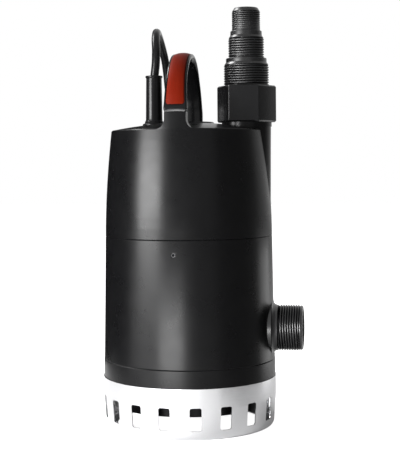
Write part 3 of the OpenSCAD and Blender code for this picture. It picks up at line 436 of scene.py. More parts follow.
def thread_mesh(name, crest_r, low, high, pitch, fade):
    """A helical thread with flat crests and narrow roots between two heights, open at both ends.

    All lengths are in millimetres. The thread fades out over a short way at each end.
    """
    root = crest_r - THREAD_DEPTH_PER_PITCH * pitch
    turns = math.ceil((high - low) / pitch) + 2
    rows = turns * THREAD_POINTS
    verts = []
    for row in range(rows + 1):
        phase = row / THREAD_POINTS
        lift = min(1.0, FLANK_STEEPNESS * (1 - abs(2 * (phase % 1.0) - 1)))
        for k in range(THREAD_SEGMENTS):
            z = low + (phase + k / THREAD_SEGMENTS - 1) * pitch
            edge = min(z - low, high - z)
            radius = root + (crest_r - root) * lift * smooth_step(edge / fade)
            z = min(max(z, low), high)
            angle = TURN * k / THREAD_SEGMENTS
            verts.append((radius * math.cos(angle) * MM, radius * math.sin(angle) * MM, z * MM))
    faces = []
    for row in range(rows):
        a = row * THREAD_SEGMENTS
        b = a + THREAD_SEGMENTS
        faces += [(a + k, a + k + 1, b + k + 1, b + k) for k in range(THREAD_SEGMENTS - 1)]
        if row + THREAD_POINTS < rows:
            far = (row + THREAD_POINTS) * THREAD_SEGMENTS
            faces.append((a + THREAD_SEGMENTS - 1, far, far + THREAD_SEGMENTS, b + THREAD_SEGMENTS - 1))
    return mesh_object(name, verts, faces, THREAD_SMOOTH_ANGLE)


# Turned pieces with softened corners
CORNER_STEPS = 4
CORNER_SHARE = 0.45
TURNED_SMOOTH_ANGLE = 50


def round_off(points, radius):
    """Rounds the inner corners of a line of (radius, height) points."""
    line = [Vector(points[0])]
    for before, corner, after in zip(points, points[1:], points[2:]):
        corner = Vector(corner)
        to_before = Vector(before) - corner
        to_after = Vector(after) - corner
        reach = min(radius, CORNER_SHARE * to_before.length, CORNER_SHARE * to_after.length)
        start = corner + to_before.normalized() * reach
        end = corner + to_after.normalized() * reach
        for i in range(CORNER_STEPS + 1):
            t = i / CORNER_STEPS
            line.append(start * (1 - t) ** 2 + corner * 2 * t * (1 - t) + end * t * t)
    line.append(Vector(points[-1]))
    return line


def turned(name, points, radius, segments=THREAD_SEGMENTS, closed=True):
    """A turned piece from (radius, height) points in millimetres, with softened corners."""
    return revolve(name, round_off(points, radius), segments, closed, TURNED_SMOOTH_ANGLE)


# Plug on the free end of the cord, turned about its own length towards -X, in millimetres
PLUG_PLACE = (-8, 244, 60)
PLUG_SEGMENTS = 144
PLUG_R = 17.6
PLUG_RELIEF = 24.0
PLUG_BODY = 34.0
RELIEF_GROOVES = 6
RELIEF_FIRST_GROOVE = 2.0
RELIEF_GROOVE_PITCH = 3.6
RELIEF_GROOVE = [(0.0, 0.0), (0.25, 0.9), (1.15, 0.9), (1.4, 0.0)]
RELIEF_THIN_R = 5.1
RELIEF_WIDENING = 2.4
FLUTES = 24
FLUTE_DEPTH = 0.7
FLUTES_FROM = 37.5
FLUTES_TO = 52.5
FLUTES_FADE = 2
FLUTES_SIDE_LIMIT = 0.8
PIN_R = 2.4
PIN_END_R = 0.3
PIN_ROUNDING = 1.2
PIN_SEGMENTS = 40
PIN_SUNK = 1.5
PIN_LENGTH = 19.0
PIN_SPREAD = 9.5
CONTACT_SECTION = [(1.0, 2.0), (0.1, 1.9), (0.0, 1.4), (0.0, -1.4), (0.1, -1.9), (1.0, -2.0)]
CONTACT_LEVELS = (12, 9, 5, 1.2)


def lay_plug(piece):
    """Turns a piece made about +Z so that it points along -X from the plug's place."""
    place = Matrix.Translation([v * MM for v in PLUG_PLACE])
    piece.data.transform(place @ Matrix.Rotation(-math.pi / 2, 4, "Y"))
    return piece


def plug_profile():
    """The plug's (distance along, radius) points: tapered relief, grip and stepped face."""
    relief = [(0.0, 3.2), (0.0, 4.4), (0.5, 5.0)]
    for i in range(RELIEF_GROOVES):
        start = RELIEF_FIRST_GROOVE + RELIEF_GROOVE_PITCH * i
        for along, drop in RELIEF_GROOVE:
            wide = RELIEF_THIN_R + RELIEF_WIDENING * (start + along) / PLUG_RELIEF
            relief.append((start + along, wide - drop))
    grip = [
        (24.0, 7.5), (25.2, 9.0), (26.8, 12.2), (29.0, 14.6), (32.0, 16.6), (34.5, 17.3), (37.0, 17.45),
        (38.0, 17.5),
    ]
    grip += [(39.0 + i, 17.55) for i in range(0, 13, 2)]
    rim = [
        (53.0, PLUG_R), (55.8, PLUG_R), (56.0, 17.2), (56.4, 17.2), (56.6, PLUG_R), (57.4, 17.4),
        (57.9, 16.8), (58.0, 16.2),
    ]
    face = [(58.0, 15.4), (57.6, 15.2), (57.4, 14.8), (57.4, 7.0), (57.4, 0.4)]
    return relief + grip + rim + face


def make_plug():
    """A moulded plug with a grooved relief and a fluted grip, smooth where its side contacts sit."""
    rings = []
    for along, radius in plug_profile():
        fluted = smooth_step((along - FLUTES_FROM) / FLUTES_FADE)
        fluted *= smooth_step((FLUTES_TO - along) / FLUTES_FADE)
        ring = []
        for k in range(PLUG_SEGMENTS):
            angle = TURN * k / PLUG_SEGMENTS
            has_flutes = abs(math.sin(angle)) < FLUTES_SIDE_LIMIT
            depth = FLUTE_DEPTH * fluted * max(0.0, math.cos(FLUTES * angle)) * has_flutes
            r = (radius - depth) * MM
            ring.append(Vector((r * math.cos(angle), r * math.sin(angle), along * MM)))
        rings.append(ring)
    plug = lay_plug(loft("moulded_plug", rings, smooth_angle=38))
    return keep(plug, "cord_rubber", "housing", "mains_plug")


def make_pins():
    """Two round pins and the two side contacts of the plug."""
    pieces = []
    end = PLUG_RELIEF + PLUG_BODY
    base = end - PIN_SUNK
    tip = end + PIN_LENGTH
    profile = [(PIN_END_R, base), (PIN_R, base), (PIN_R, tip), (PIN_END_R, tip)]
    for side in (-1, 1):
        pin = turned("pin", profile, PIN_ROUNDING, PIN_SEGMENTS, closed=False)
        pin.data.transform(Matrix.Translation((0, side * PIN_SPREAD * MM, 0)))
        pieces.append(pin)
        rows = []
        for level in CONTACT_LEVELS:
            z = (end - level) * MM
            rows.append([Vector((side * (PLUG_R - sunk) * MM, y * MM, z)) for sunk, y in CONTACT_SECTION])
        pieces.append(loft("contact", rows))
    return keep(lay_plug(join(pieces, "pins_and_contacts")), "pin_brass", "housing", "plug_pins")


# Bands that hold the coil together, in millimetres; a section is (across, lift) points
TIE_ANGLES = (60, 180, 300)
TIE_T = 1.2
TIE_SECTION = [
    (-4.5, 0.25), (-4.3, 0.0), (4.3, 0.0), (4.5, 0.25), (4.5, 0.95), (4.2, TIE_T), (-4.2, TIE_T),
    (-4.5, 0.95),
]
TIE_GAP = 0.05
TIE_SAG = 0.3
TIE_CORNER_STEPS = 8
TIE_STEPS_PER_TURN = 4
# The lap lies on these points of the band's path
LAP_FIRST = 5
LAP_END = 24
LAP_LIFT = TIE_T - 0.2
LAP_THINNING = 0.9
LAP_WIDTH = 0.9
LAP_TAPER = 0.12
LAP_TAPER_POINTS = 2


def tie_path():
    """The inside of a band around the coil's turns: (radius, height) points, each with its way out."""
    inner = COIL_OUTER_R - COIL_STEP * (COIL_COLUMNS - 1)
    top = COIL_LOW_Z + COIL_STEP * COIL_TURNS_PER_COLUMN
    corners = [(COIL_OUTER_R, top), (inner, top), (inner, COIL_LOW_Z), (COIL_OUTER_R, COIL_LOW_Z)]
    reach = CORD_DIAMETER / 2 + TIE_GAP
    steps = TIE_STEPS_PER_TURN * COIL_TURNS_PER_COLUMN
    path = []
    for i, corner in enumerate(corners):
        corner = Vector(corner)
        for step in range(TIE_CORNER_STEPS + 1):
            angle = math.radians(90 * i + 90 * step / TIE_CORNER_STEPS)
            out = Vector((math.cos(angle), math.sin(angle)))
            path.append((corner + out * reach, out))
        following = Vector(corners[(i + 1) % 4])
        turn = math.radians(90 * (i + 1))
        out = Vector((math.cos(turn), math.sin(turn)))
        for step in range(1, steps):
            sag = TIE_SAG * abs(math.sin(math.pi * step / TIE_STEPS_PER_TURN))
            middle = corner.lerp(following, step / steps)
            path.append((middle + out * (reach - sag), out))
    return path


def tie_ring(tie_angle, point, out, section):
    """One section of a band, at a point of the band's path and an angle around the coil."""
    turn = math.radians(tie_angle)
    out_way = Vector((math.cos(turn), math.sin(turn), 0))
    side_way = Vector((-out_way.y, out_way.x, 0))
    centre = Vector((*COIL_CENTRE, 0))
    ring = []
    for across, lift in section:
        flat = point + out * lift
        ring.append((centre + out_way * flat.x + side_way * across + Vector((0, 0, flat.y))) * MM)
    return ring


def make_ties():
    """Woven bands with a lapped end on the top of the coil."""
    path = tie_path()
    lap = path[LAP_FIRST:LAP_END]
    pieces = []
    for tie_angle in TIE_ANGLES:
        rings = [tie_ring(tie_angle, point, out, TIE_SECTION) for point, out in path]
        pieces.append(loft("band", rings, closed=True, smooth_angle=50))
        rings = []
        for i, (point, out) in enumerate(lap):
            end = min(i, len(lap) - 1 - i)
            width = LAP_WIDTH - LAP_TAPER * max(0, LAP_TAPER_POINTS - end)
            section = [(across * width, LAP_LIFT + LAP_THINNING * lift) for across, lift in TIE_SECTION]
            rings.append(tie_ring(tie_angle, point, out, section))
        pieces.append(loft("lap", rings, smooth_angle=50))
    return keep(join(pieces, "coil_bands"), "tie_fabric", "housing", "coil_ties")


# Cord entry: a flange on the cover and a tapered strain relief, in millimetres
GLAND_PLACE = (-34.2, 9, 0)
GLAND_LOW_Z = 268.0
GLAND_TOP_Z = 327.1
GLAND_SEGMENTS = 96
GLAND_ROUNDING = 0.25
GLAND_PROFILE = [
    (4.0, GLAND_LOW_Z), (6.0, GLAND_LOW_Z), (6.0, 276.0), (10.6, 276.0), (11.0, 276.4), (11.0, 280.6),
    (10.3, 281.3), (9.2, 281.5), (8.7, 283.6), (8.1, 284.2), (7.95, 286.0), (7.45, 324.4),
    (7.5, 324.9), (8.0, 325.2), (8.15, 325.6), (8.15, 326.7), (7.8, GLAND_TOP_Z),
    (5.6, GLAND_TOP_Z), (4.6, 326.4), (4.0, 324.0),
]


def make_gland():
    """The sleeve through which the cord enters the cover."""
    gland = turned("strain_relief", GLAND_PROFILE, GLAND_ROUNDING, GLAND_SEGMENTS)
    gland.data.transform(Matrix.Translation([v * MM for v in GLAND_PLACE]))
    keep(gland, "cord_rubber", "housing", "cord_gland")


make_gland()
make_cord()


# Stepped hose adapter on the riser, heights in millimetres above the floor
ADAPTER_X = 55.6
ADAPTER_FOOT_Z = 281.0
HEX_TOP_Z = 315.0
HEX_FLATS = 48.1
HEX_EDGE_R = 1.1
HEX_EDGE_STEPS = 6
HEX_BEVEL = [(0.0, 26.3), (0.5, 26.9), (1.4, 30.0)]
HEX_INSIDE = [(HEX_TOP_Z, 17.6), (304.8, 17.6), (304.6, 21.3), (ADAPTER_FOOT_Z, 21.3)]
SHOULDER_ROUNDING = 0.45
MOUTH_ROUNDING = 0.4
SHOULDER_PROFILE = [
    (18, 334.0), (19.5, 334.2), (20.7, 334.6), (19.1, 336.9), (18.95, 340.7), (15.4, 341.0),
    (14.6, 341.0), (14.6, 338.0),
]
NECK_PROFILE = [
    (13.5, 359.2), (15.2, 359.4), (16.35, 359.8), (14.8, 362.0), (14.65, 366.2), (12.3, 366.5),
    (11.0, 366.5), (11.0, 363.0),
]
MOUTH_PROFILE = [
    (11.6, 384.2), (13.05, 384.6), (10.95, 388.0), (10.1, 388.0), (10.02, 364.5), (13.2, 357.0),
    (13.2, 340.0), (17.2, 334.0), (17.2, 304.5), (20.8, 304.5), (20.9, 281.2), (21.6, 281.2),
]


def make_hexagon():
    """A bored hexagon with flats towards -Y and +Y, rounded corners and a turned bevel at both ends."""
    corner_r = HEX_FLATS / 2 / math.cos(math.pi / 6)
    rounding_r = corner_r - HEX_EDGE_R / math.cos(math.pi / 6)
    outline = []
    for i in range(6):
        centre = math.radians(60 * i)
        middle = Vector((math.cos(centre), math.sin(centre))) * rounding_r
        for step in range(HEX_EDGE_STEPS + 1):
            angle = centre + math.radians(60 * step / HEX_EDGE_STEPS - 30)
            outline.append(middle + HEX_EDGE_R * Vector((math.cos(angle), math.sin(angle))))
    levels = [(ADAPTER_FOOT_Z + z, limit) for z, limit in HEX_BEVEL]
    levels += [(HEX_TOP_Z - z, limit) for z, limit in reversed(HEX_BEVEL)]
    rings = []
    for z, limit in levels:
        ring = [p.normalized() * min(p.length, limit) for p in outline]
        rings.append([Vector((p.x * MM, p.y * MM, z * MM)) for p in ring])
    for z, radius in HEX_INSIDE:
        ring = [p.normalized() * radius for p in outline]
        rings.append([Vector((p.x * MM, p.y * MM, z * MM)) for p in ring])
    return loft("hexagon", rings, closed=True, smooth_angle=28)


def make_adapter():
    """The adapter from its hexagon up: three threads with a turned step above each."""
    hexagon = make_hexagon()
    hexagon_faces = len(hexagon.data.polygons)
    pieces = [
        hexagon,
        thread_mesh("large", LARGE_THREAD_R, low=HEX_TOP_Z - 0.2, high=334.6, pitch=PITCH_LARGE, fade=0.9),
        turned("shoulder", SHOULDER_PROFILE, SHOULDER_ROUNDING),
        thread_mesh("middle", MIDDLE_THREAD_R, low=340.9, high=359.8, pitch=PITCH_LARGE, fade=0.9),
        turned("neck", NECK_PROFILE, SHOULDER_ROUNDING),
        thread_mesh("small", SMALL_THREAD_R, low=366.4, high=384.8, pitch=PITCH_SMALL, fade=0.8),
        turned("mouth", MOUTH_PROFILE, MOUTH_ROUNDING),
    ]
    adapter = join(pieces, "hose_adapter")
    adapter.data.transform(Matrix.Translation((ADAPTER_X * MM, 0, 0)))
    keep(adapter, "adapter_black", "housing", "adapter")
    add_second_material(adapter, "hexagon_black", adapter.data.polygons[:hexagon_faces])


make_adapter()


# Outer sleeve with its side outlet, in millimetres
SLEEVE_FOOT_R = 80.0
SLEEVE_TOP_R = 78.2
SLEEVE_T = 3.0
SLEEVE_LOW_Z = 61.8
SLEEVE_TOP_Z = 175.4
SLEEVE_BEVEL = 0.5
SLEEVE_BEVEL_HALFWAY = 0.14
SLEEVE_LEVELS = (62.3, 70, 80, 90, 100, 110, 130, 150, 158, 160, 165, 167, 174.9)
SLEEVE_SEGMENTS = 288
CUTTER_AXIS_R = 0.001
PORT_Z = 90.0
PORT_BORE_R = 16.5
PORT_LINING_R = PORT_BORE_R + 0.05
PORT_ROOT_X = 75.6
PORT_ROOT_R = 25.4
FLARE_X = 79
FLARE_LENGTH = 5
FLARE_RISE = 4.445
PORT_RIM_ROUNDING = 0.5
PORT_RIM_PROFILE = [
    (17.0, 103.9), (19.4, 103.9), (20.5, 104.3), (20.6, 105.7), (19.3, 107.0), (17.3, 107.0),
    (PORT_BORE_R, 106.2), (PORT_BORE_R, 83.0), (18.0, 83.0),
]
VENT_X = -1.2
VENT_Z = 162.5
VENT_R = 1.9


def cut_away(piece, cutters):
    """Takes closed cutters out of a closed piece."""
    for cutter in cutters:
        change = piece.modifiers.new("cut", "BOOLEAN")
        change.operation = "DIFFERENCE"
        change.solver = "EXACT"
        change.object = cutter
    bpy.context.view_layer.update()
    solved = piece.evaluated_get(bpy.context.evaluated_depsgraph_get())
    mesh = bpy.data.meshes.new_from_object(solved)
    piece.modifiers.clear()
    old = piece.data
    piece.data = mesh
    bpy.data.meshes.remove(old)
    for cutter in cutters:
        data = cutter.data
        bpy.data.objects.remove(cutter)
        bpy.data.meshes.remove(data)


def round_cutter(name, radius, low, high, segments):
    """A cylinder about the vertical axis, turned around a hair-thin core."""
    profile = [(CUTTER_AXIS_R, low), (radius, low), (radius, high), (CUTTER_AXIS_R, high)]
    return revolve(name, profile, segments)


def sleeve_profile():
    """The drafted wall with small bevels at its foot and top, as (radius, height) points."""
    draft = (SLEEVE_FOOT_R - SLEEVE_TOP_R) / (SLEEVE_TOP_Z - SLEEVE_LOW_Z)
    foot = [
        (SLEEVE_FOOT_R - SLEEVE_T, SLEEVE_LOW_Z),
        (SLEEVE_FOOT_R - SLEEVE_BEVEL, SLEEVE_LOW_Z),
        (SLEEVE_FOOT_R - SLEEVE_BEVEL_HALFWAY, SLEEVE_LOW_Z + SLEEVE_BEVEL_HALFWAY),
    ]
    wall = [(SLEEVE_FOOT_R - draft * (z - SLEEVE_LOW_Z), z) for z in SLEEVE_LEVELS]
    top = [
        (SLEEVE_TOP_R - SLEEVE_BEVEL_HALFWAY, SLEEVE_TOP_Z - SLEEVE_BEVEL_HALFWAY),
        (SLEEVE_TOP_R - SLEEVE_BEVEL, SLEEVE_TOP_Z),
        (SLEEVE_TOP_R - SLEEVE_T, SLEEVE_TOP_Z),
    ]
    return foot + wall + top


def port_root_profile():
    """The outlet's root and its flare, which narrows in a quarter circle to the thread."""
    flare = []
    for degrees in range(0, 91, 6):
        angle = math.radians(degrees)
        radius = LARGE_THREAD_R + FLARE_RISE * (1 - math.sin(angle))
        flare.append((radius, FLARE_X + FLARE_LENGTH * (1 - math.cos(angle))))
    root = [(PORT_LINING_R, PORT_ROOT_X), (PORT_ROOT_R, PORT_ROOT_X)]
    return root + flare + [(19.4, 84.1), (PORT_LINING_R, 84.1)]


def make_sleeve():
    """The sleeve with the outlet's bore and the vent hole cut out, and the threaded outlet on it."""
    shell = revolve("sleeve_shell", sleeve_profile(), SLEEVE_SEGMENTS, smooth_angle=15)
    bore = turn_to_x(round_cutter("bore", PORT_BORE_R, low=60, high=100, segments=96), PORT_Z * MM)
    vent = round_cutter("vent", VENT_R, low=70, high=90, segments=32)
    vent_place = Matrix.Translation((VENT_X * MM, 0, VENT_Z * MM))
    vent.data.transform(vent_place @ Matrix.Rotation(math.pi / 2, 4, "X"))
    cut_away(shell, [bore, vent])
    shell_faces = len(shell.data.polygons)
    root = revolve("port_root", port_root_profile(), THREAD_SEGMENTS)
    thread = thread_mesh("port_thread", LARGE_THREAD_R, low=84.3, high=104.2, pitch=PITCH_LARGE, fade=0.9)
    pieces = [
        shell,
        turn_to_x(root, PORT_Z * MM),
        turn_to_x(thread, PORT_Z * MM),
        turn_to_x(turned("port_rim", PORT_RIM_PROFILE, PORT_RIM_ROUNDING), PORT_Z * MM),
    ]
    sleeve = keep(join(pieces, "sleeve"), "housing_black", "housing", "outer_sleeve")
    add_second_material(sleeve, "port_black", sleeve.data.polygons[shell_faces:])


make_sleeve()


# Handle in millimetres: an arch of two quarter ellipses with a channel for the red inlay
HANDLE_FRONT_Y = -71.8
HANDLE_SPAN = 97.0
HANDLE_APEX_Y = HANDLE_FRONT_Y + 50.5
HANDLE_LOW_Z = 289.6
HANDLE_ARCH_Z = HANDLE_LOW_Z + 1.5
HANDLE_TOP_Z = 345.5
HANDLE_GRIP_Z = HANDLE_TOP_Z - 21.5
FOOT_LEVELS = (HANDLE_LOW_Z - 1.4, HANDLE_LOW_Z - 0.7, HANDLE_LOW_Z, HANDLE_LOW_Z + 0.75)
BACK_LEVELS = (288.5, 286.0, 282.2)
HANDLE_T = 8.0
HANDLE_SIDE_T = 4.2
HANDLE_SIDE_FROM = 3.6
HANDLE_EDGE_R = 1.2
HANDLE_HALF_WIDTH = 10.6
HANDLE_NARROWING = 1.3
HANDLE_CROWN = 2.1
CROWN_POWER = 2.4
CROWN_FADE = 9
HANDLE_COLUMNS = 44
HANDLE_UNDERSIDE_STEPS = 24
FOOT_LEAN_FROM_Z = HANDLE_ARCH_Z + 0.5
FOOT_LEAN_HEIGHT = 3.0
FOOT_LEAN_DEPTH = 0.95
FOOT_LEAN_NARROWING = 0.08
CHANNEL_RIM_DROP = 0.10
CHANNEL_DEPTH = 0.95
CHANNEL_WALL = 0.7
CHANNEL_CORNER_R = 3.6
INLAY_W = 15.4
INLAY_SPREAD = 1.2
INLAY_LOW_Z = HANDLE_LOW_Z + 5.2
INLAY_END_Y = HANDLE_FRONT_Y + 67.0
INLAY_GAP = 0.15
INLAY_CORNER_R = 3.5
INLAY_EDGE_R = 0.5
INLAY_SUNK = 0.32
INLAY_SIDE_DROP = 0.22
INLAY_UNDERSIDE = 1.15
INLAY_COLUMNS = 24
INLAY_UNDERSIDE_STEPS = 8
INLAY_STATIONS_PER_DEGREE = 1.5


def arch_point(inset, angle):
    """A point of the arch at a depth under its outside, as (y, z)."""
    if angle < 90:
        front = HANDLE_FRONT_Y + inset
        y = HANDLE_APEX_Y - (HANDLE_APEX_Y - front) * math.cos(math.radians(angle))
    else:
        back = HANDLE_FRONT_Y + HANDLE_SPAN - inset
        y = HANDLE_APEX_Y + (back - HANDLE_APEX_Y) * math.cos(math.radians(180 - angle))
    top = HANDLE_TOP_Z - inset
    return Vector((y, HANDLE_ARCH_Z + (top - HANDLE_ARCH_Z) * math.sin(math.radians(angle))))


def arch_stations(inset, per_degree=1.0):
    """Points of the arch from the front end over the top to the back end."""
    line = [Vector((HANDLE_FRONT_Y + inset, z)) for z in FOOT_LEVELS]
    count = round(180 * per_degree)
    line += [arch_point(inset, 180 * i / count) for i in range(count + 1)]
    back = HANDLE_FRONT_Y + HANDLE_SPAN - inset
    line += [Vector((back, z)) for z in BACK_LEVELS]
    return line


def grip_share(z):
    """How far a height has come from the arch's foot to the grip, from 0 to 1."""
    return min(1.0, max(0.0, (z - HANDLE_ARCH_Z) / (HANDLE_GRIP_Z - HANDLE_ARCH_Z)))


def handle_half_width(z):
    """Half the handle's width, which gets smaller from the foot to the grip."""
    return HANDLE_HALF_WIDTH - HANDLE_NARROWING * grip_share(z)


def inlay_half_width(z):
    """Half the channel's width, which gets smaller from the foot to the grip."""
    return INLAY_W / 2 + INLAY_SPREAD * (1 - grip_share(z))


def crown(x, z):
    """How far the handle's outside falls away beside its middle line."""
    rise = smooth_step((z - HANDLE_LOW_Z) / CROWN_FADE)
    return HANDLE_CROWN * rise * (abs(x) / handle_half_width(z)) ** CROWN_POWER


def inlay_along(y, z):
    """How far inside the inlay's nearer end a point of the outside lies."""
    return z - INLAY_LOW_Z if y < HANDLE_APEX_Y else INLAY_END_Y - y


def channel_inside(x, y, z):
    """How far inside the channel's outline a point of the outside lies."""
    side = inlay_half_width(z) - abs(x)
    along = inlay_along(y, z)
    if along < CHANNEL_CORNER_R and side < CHANNEL_CORNER_R:
        return CHANNEL_CORNER_R - math.hypot(CHANNEL_CORNER_R - along, CHANNEL_CORNER_R - side)
    return min(side, along)


def handle_section(y, z):
    """The handle's (x, depth under the outside) points at a place of its outer line."""
    half = handle_half_width(z)
    section = []
    for k in range(HANDLE_COLUMNS + 1):
        x = half * (2 * k / HANDLE_COLUMNS - 1)
        into_channel = smooth_step((channel_inside(x, y, z) + CHANNEL_WALL / 2) / CHANNEL_WALL)
        drop = CHANNEL_RIM_DROP + CHANNEL_DEPTH * into_channel
        drop = max(drop, edge_drop(HANDLE_EDGE_R, half - abs(x)))
        section.append((x, drop + crown(x, z)))
    section.append((half, HANDLE_SIDE_FROM))
    for k in range(HANDLE_UNDERSIDE_STEPS + 1):
        angle = math.pi * k / HANDLE_UNDERSIDE_STEPS
        depth = HANDLE_SIDE_T + (HANDLE_T - HANDLE_SIDE_T) * math.sin(angle)
        section.append((half * math.cos(angle), depth))
    section.append((-half, HANDLE_SIDE_FROM))
    return section


def lean_foot(section, z):
    """Slopes the outside of the front foot back towards its lower end, and narrows the foot a little."""
    lean = max(0.0, (FOOT_LEAN_FROM_Z - z) / FOOT_LEAN_HEIGHT)
    leaning = []
    for x, depth in section:
        further = FOOT_LEAN_DEPTH * lean * (1 - depth / HANDLE_T)
        leaning.append((x * (1 - FOOT_LEAN_NARROWING * lean), depth + further))
    return leaning


def make_handle():
    """The handle with the inlay's channel in its outside."""
    outer = arch_stations(0.0)
    inner = arch_stations(HANDLE_T)
    rings = []
    for out_point, in_point in zip(outer, inner):
        y, z = out_point
        toward = (in_point - out_point) / HANDLE_T
        section = handle_section(y, z)
        if y < HANDLE_APEX_Y:
            section = lean_foot(section, z)
        ring = []
        for x, depth in section:
            place = out_point + toward * depth
            ring.append(Vector((x * MM, place[0] * MM, place[1] * MM)))
        rings.append(ring)
    keep(loft("handle_frame", rings, smooth_angle=50), "handle_black", "housing", "handle")


def make_inlay():
    """The red inlay, slightly crowned, a hair below the channel's rim."""
    rows = []
    outer = arch_stations(0.0, INLAY_STATIONS_PER_DEGREE)
    inner = arch_stations(HANDLE_T, INLAY_STATIONS_PER_DEGREE)
    for out_point, in_point in zip(outer, inner):
        y, z = out_point
        if y < HANDLE_APEX_Y and z < INLAY_LOW_Z + INLAY_GAP:
            continue
        if y >= HANDLE_APEX_Y and y > INLAY_END_Y - INLAY_GAP:
            continue
        along = inlay_along(y, z)
        half = inlay_half_width(z) - INLAY_GAP - edge_drop(INLAY_CORNER_R, along)
        toward = (in_point - out_point) / HANDLE_T
        row = []
        for k in range(INLAY_COLUMNS + 1):
            share = 2 * k / INLAY_COLUMNS - 1
            x = half * share
            rim = min(half * (1 - abs(share)), along)
            depth = INLAY_SUNK + INLAY_SIDE_DROP * share * share + edge_drop(INLAY_EDGE_R, rim)
            place = out_point + toward * (depth + crown(x, z))
            row.append(Vector((x * MM, place[0] * MM, place[1] * MM)))
        for k in range(INLAY_UNDERSIDE_STEPS + 1):
            x = half * (1 - 2 * k / INLAY_UNDERSIDE_STEPS)
            under = out_point + toward * (INLAY_UNDERSIDE + crown(x, z))
            row.append(Vector((x * MM, under[0] * MM, under[1] * MM)))
        rows.append(row)
    keep(loft("red_inlay", rows, smooth_angle=55), "inlay_red", "housing", "handle_inlay")


make_handle()
make_inlay()


# Studio, in metres: three lamps, a glowing floor, a white background and cards for the reflections
FLOOR_REACH = 6
FLOOR_GREY = 0.9
FLOOR_GLOW = 0.95
FLOOR_GLOW_REFLECTED = 0.1
AMBIENT = 0.2
CARD_GREY = 0.01
CARD_STEPS = 12
MATT = 0.9
FRONT_CARD_MIDDLE = (-0.008, -0.64, 0.001)
FRONT_CARD_HALF_WIDTH = 0.12
FRONT_CARD_HALF_LENGTH = 0.16
FRONT_CARD_GLOW = 5.5


def area_lamp(name, place, target, size, power):
    """A rectangular lamp that faces its target."""
    data = bpy.data.lights.new(name, "AREA")
    data.shape = "RECTANGLE"
    data.size = size[0]
    data.size_y = size[1]
    data.energy = power
    lamp = bpy.data.objects.new(name, data)
    bpy.context.scene.collection.objects.link(lamp)
    lamp.location = place
    lamp.rotation_euler = (Vector(target) - Vector(place)).to_track_quat("-Z", "Y").to_euler()
    return lamp


def seen_as_background(tree, camera, glossy):
    """A strength that only camera rays, reflections and views through glass meet."""
    path = tree.nodes.new("ShaderNodeLightPath")
    strengths = {"Is Camera Ray": camera, "Is Glossy Ray": glossy, "Is Transmission Ray": camera}
    total = None
    for output, strength in strengths.items():
        share = tree.nodes.new("ShaderNodeMath")
        share.operation = "MULTIPLY_ADD"
        share.inputs[1].default_value = strength
        share.inputs[2].default_value = 0.0
        tree.links.new(path.outputs[output], share.inputs[0])
        if total:
            tree.links.new(total, share.inputs[2])
        total = share.outputs["Value"]
    return total


def glow_where_seen(tree, shader):
    """Adds to the floor, where it is seen, what the lamps leave short of white."""
    glow = tree.nodes.new("ShaderNodeEmission")
    both = tree.nodes.new("ShaderNodeAddShader")
    tree.links.new(seen_as_background(tree, FLOOR_GLOW, FLOOR_GLOW_REFLECTED), glow.inputs["Strength"])
    tree.links.new(shader.outputs["BSDF"], both.inputs[0])
    tree.links.new(glow.outputs["Emission"], both.inputs[1])
    tree.links.new(both.outputs["Shader"], tree.nodes["Material Output"].inputs["Surface"])


def around(turn, distance, height):
    """A place at an angle to the right of the camera's direction, seen from the pump."""
    angle = math.radians(CAMERA_AZIMUTH + turn)
    return (distance * math.sin(angle), -distance * math.cos(angle), height)


def matt_material(name, grey):
    """A matt grey whose glow, if it gets one, isn't sampled as a lamp."""
    material, shader = principled(name)
    shader.inputs["Base Color"].default_value = (grey, grey, grey, 1)
    shader.inputs["Roughness"].default_value = MATT
    shader.inputs["Specular IOR Level"].default_value = 0.0
    material.cycles.emission_sampling = "NONE"
    return material, shader


def reflected_card(name, verts, faces, glow):
    """A card that only reflections meet, as dark or bright as its glow."""
    card = mesh_object(name, verts, faces)
    material, shader = matt_material(name, CARD_GREY)
    shader.inputs["Emission Color"].default_value = (1, 1, 1, 1)
    shader.inputs["Emission Strength"].default_value = glow
    card.data.materials.append(material)
    card.visible_camera = False
    card.visible_diffuse = False
    card.visible_shadow = False


def curved_card(name, first, last, distance, low, high, glow):
    """A card that stands around the pump from one turn to another."""
    verts = []
    for i in range(CARD_STEPS + 1):
        turn = first + (last - first) * i / CARD_STEPS
        verts += [around(turn, distance, low), around(turn, distance, high)]
    faces = [(2 * i, 2 * i + 2, 2 * i + 3, 2 * i + 1) for i in range(CARD_STEPS)]
    reflected_card(name, verts, faces, glow)


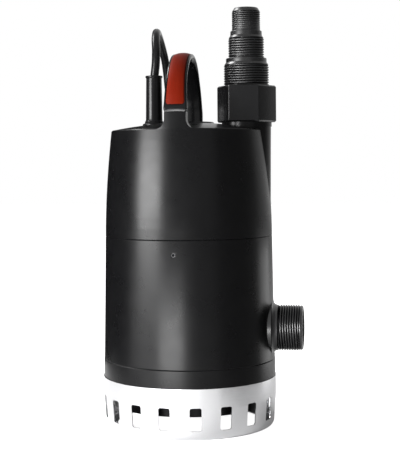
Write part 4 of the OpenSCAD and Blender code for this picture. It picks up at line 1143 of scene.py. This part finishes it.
def add_floor():
    """A pale floor that keeps the pump's shadow."""
    corners = [(-FLOOR_REACH, -FLOOR_REACH, 0), (FLOOR_REACH, -FLOOR_REACH, 0)]
    corners += [(FLOOR_REACH, FLOOR_REACH, 0), (-FLOOR_REACH, FLOOR_REACH, 0)]
    floor = mesh_object("floor", corners, [(0, 1, 2, 3)])
    material, shader = matt_material("floor_white", FLOOR_GREY)
    glow_where_seen(material.node_tree, shader)
    floor.data.materials.append(material)


def add_world():
    """A world that is white where it is seen and gives a weaker light to everything else."""
    world = bpy.data.worlds.new("studio")
    bpy.context.scene.world = world
    world.use_nodes = True
    tree = world.node_tree
    light = tree.nodes.new("ShaderNodeMath")
    light.operation = "MAXIMUM"
    light.inputs[1].default_value = AMBIENT
    tree.links.new(seen_as_background(tree, 1.0, 1.0), light.inputs[0])
    background = tree.nodes["Background"]
    background.inputs["Color"].default_value = (1, 1, 1, 1)
    tree.links.new(light.outputs["Value"], background.inputs["Strength"])


def add_lamps():
    """A key light, a low one within the picture that the camera doesn't see, and one from above."""
    key_place = around(turn=-55, distance=1.5, height=0.36)
    low_place = around(turn=-22, distance=0.42, height=0.042)
    upper_place = around(turn=-115, distance=1.5, height=1.6)
    area_lamp("key", key_place, target=(0, 0, 0.2), size=(0.84, 0.44), power=62)
    low = area_lamp("low", low_place, target=(0, 0, 0.05), size=(0.21, 0.075), power=1.75)
    low.visible_camera = False
    area_lamp("upper", upper_place, target=(0, 0, 0.1), size=(0.8, 0.8), power=45)


def add_cards():
    """Dark at the left, grey at the right, bright behind the right edge and on the floor in front."""
    curved_card("card_left", first=-168, last=-72, distance=0.24, low=0.022, high=0.5, glow=0.0)
    curved_card("card_right", first=34, last=98, distance=0.30, low=0.0, high=0.6, glow=0.34)
    curved_card("card_back", first=98, last=126, distance=0.34, low=0.0, high=0.15, glow=3.0)
    corners = []
    for side, way in ((-1, -1), (1, -1), (1, 1), (-1, 1)):
        offset = Vector((side * FRONT_CARD_HALF_WIDTH, way * FRONT_CARD_HALF_LENGTH, 0))
        corners.append(Vector(FRONT_CARD_MIDDLE) + offset)
    reflected_card("card_front", corners, [(0, 1, 2, 3)], FRONT_CARD_GLOW)


add_floor()
add_world()
add_lamps()
add_cards()
bpy.context.scene.view_settings.view_transform = "Standard"

bpy.context.view_layer.update()
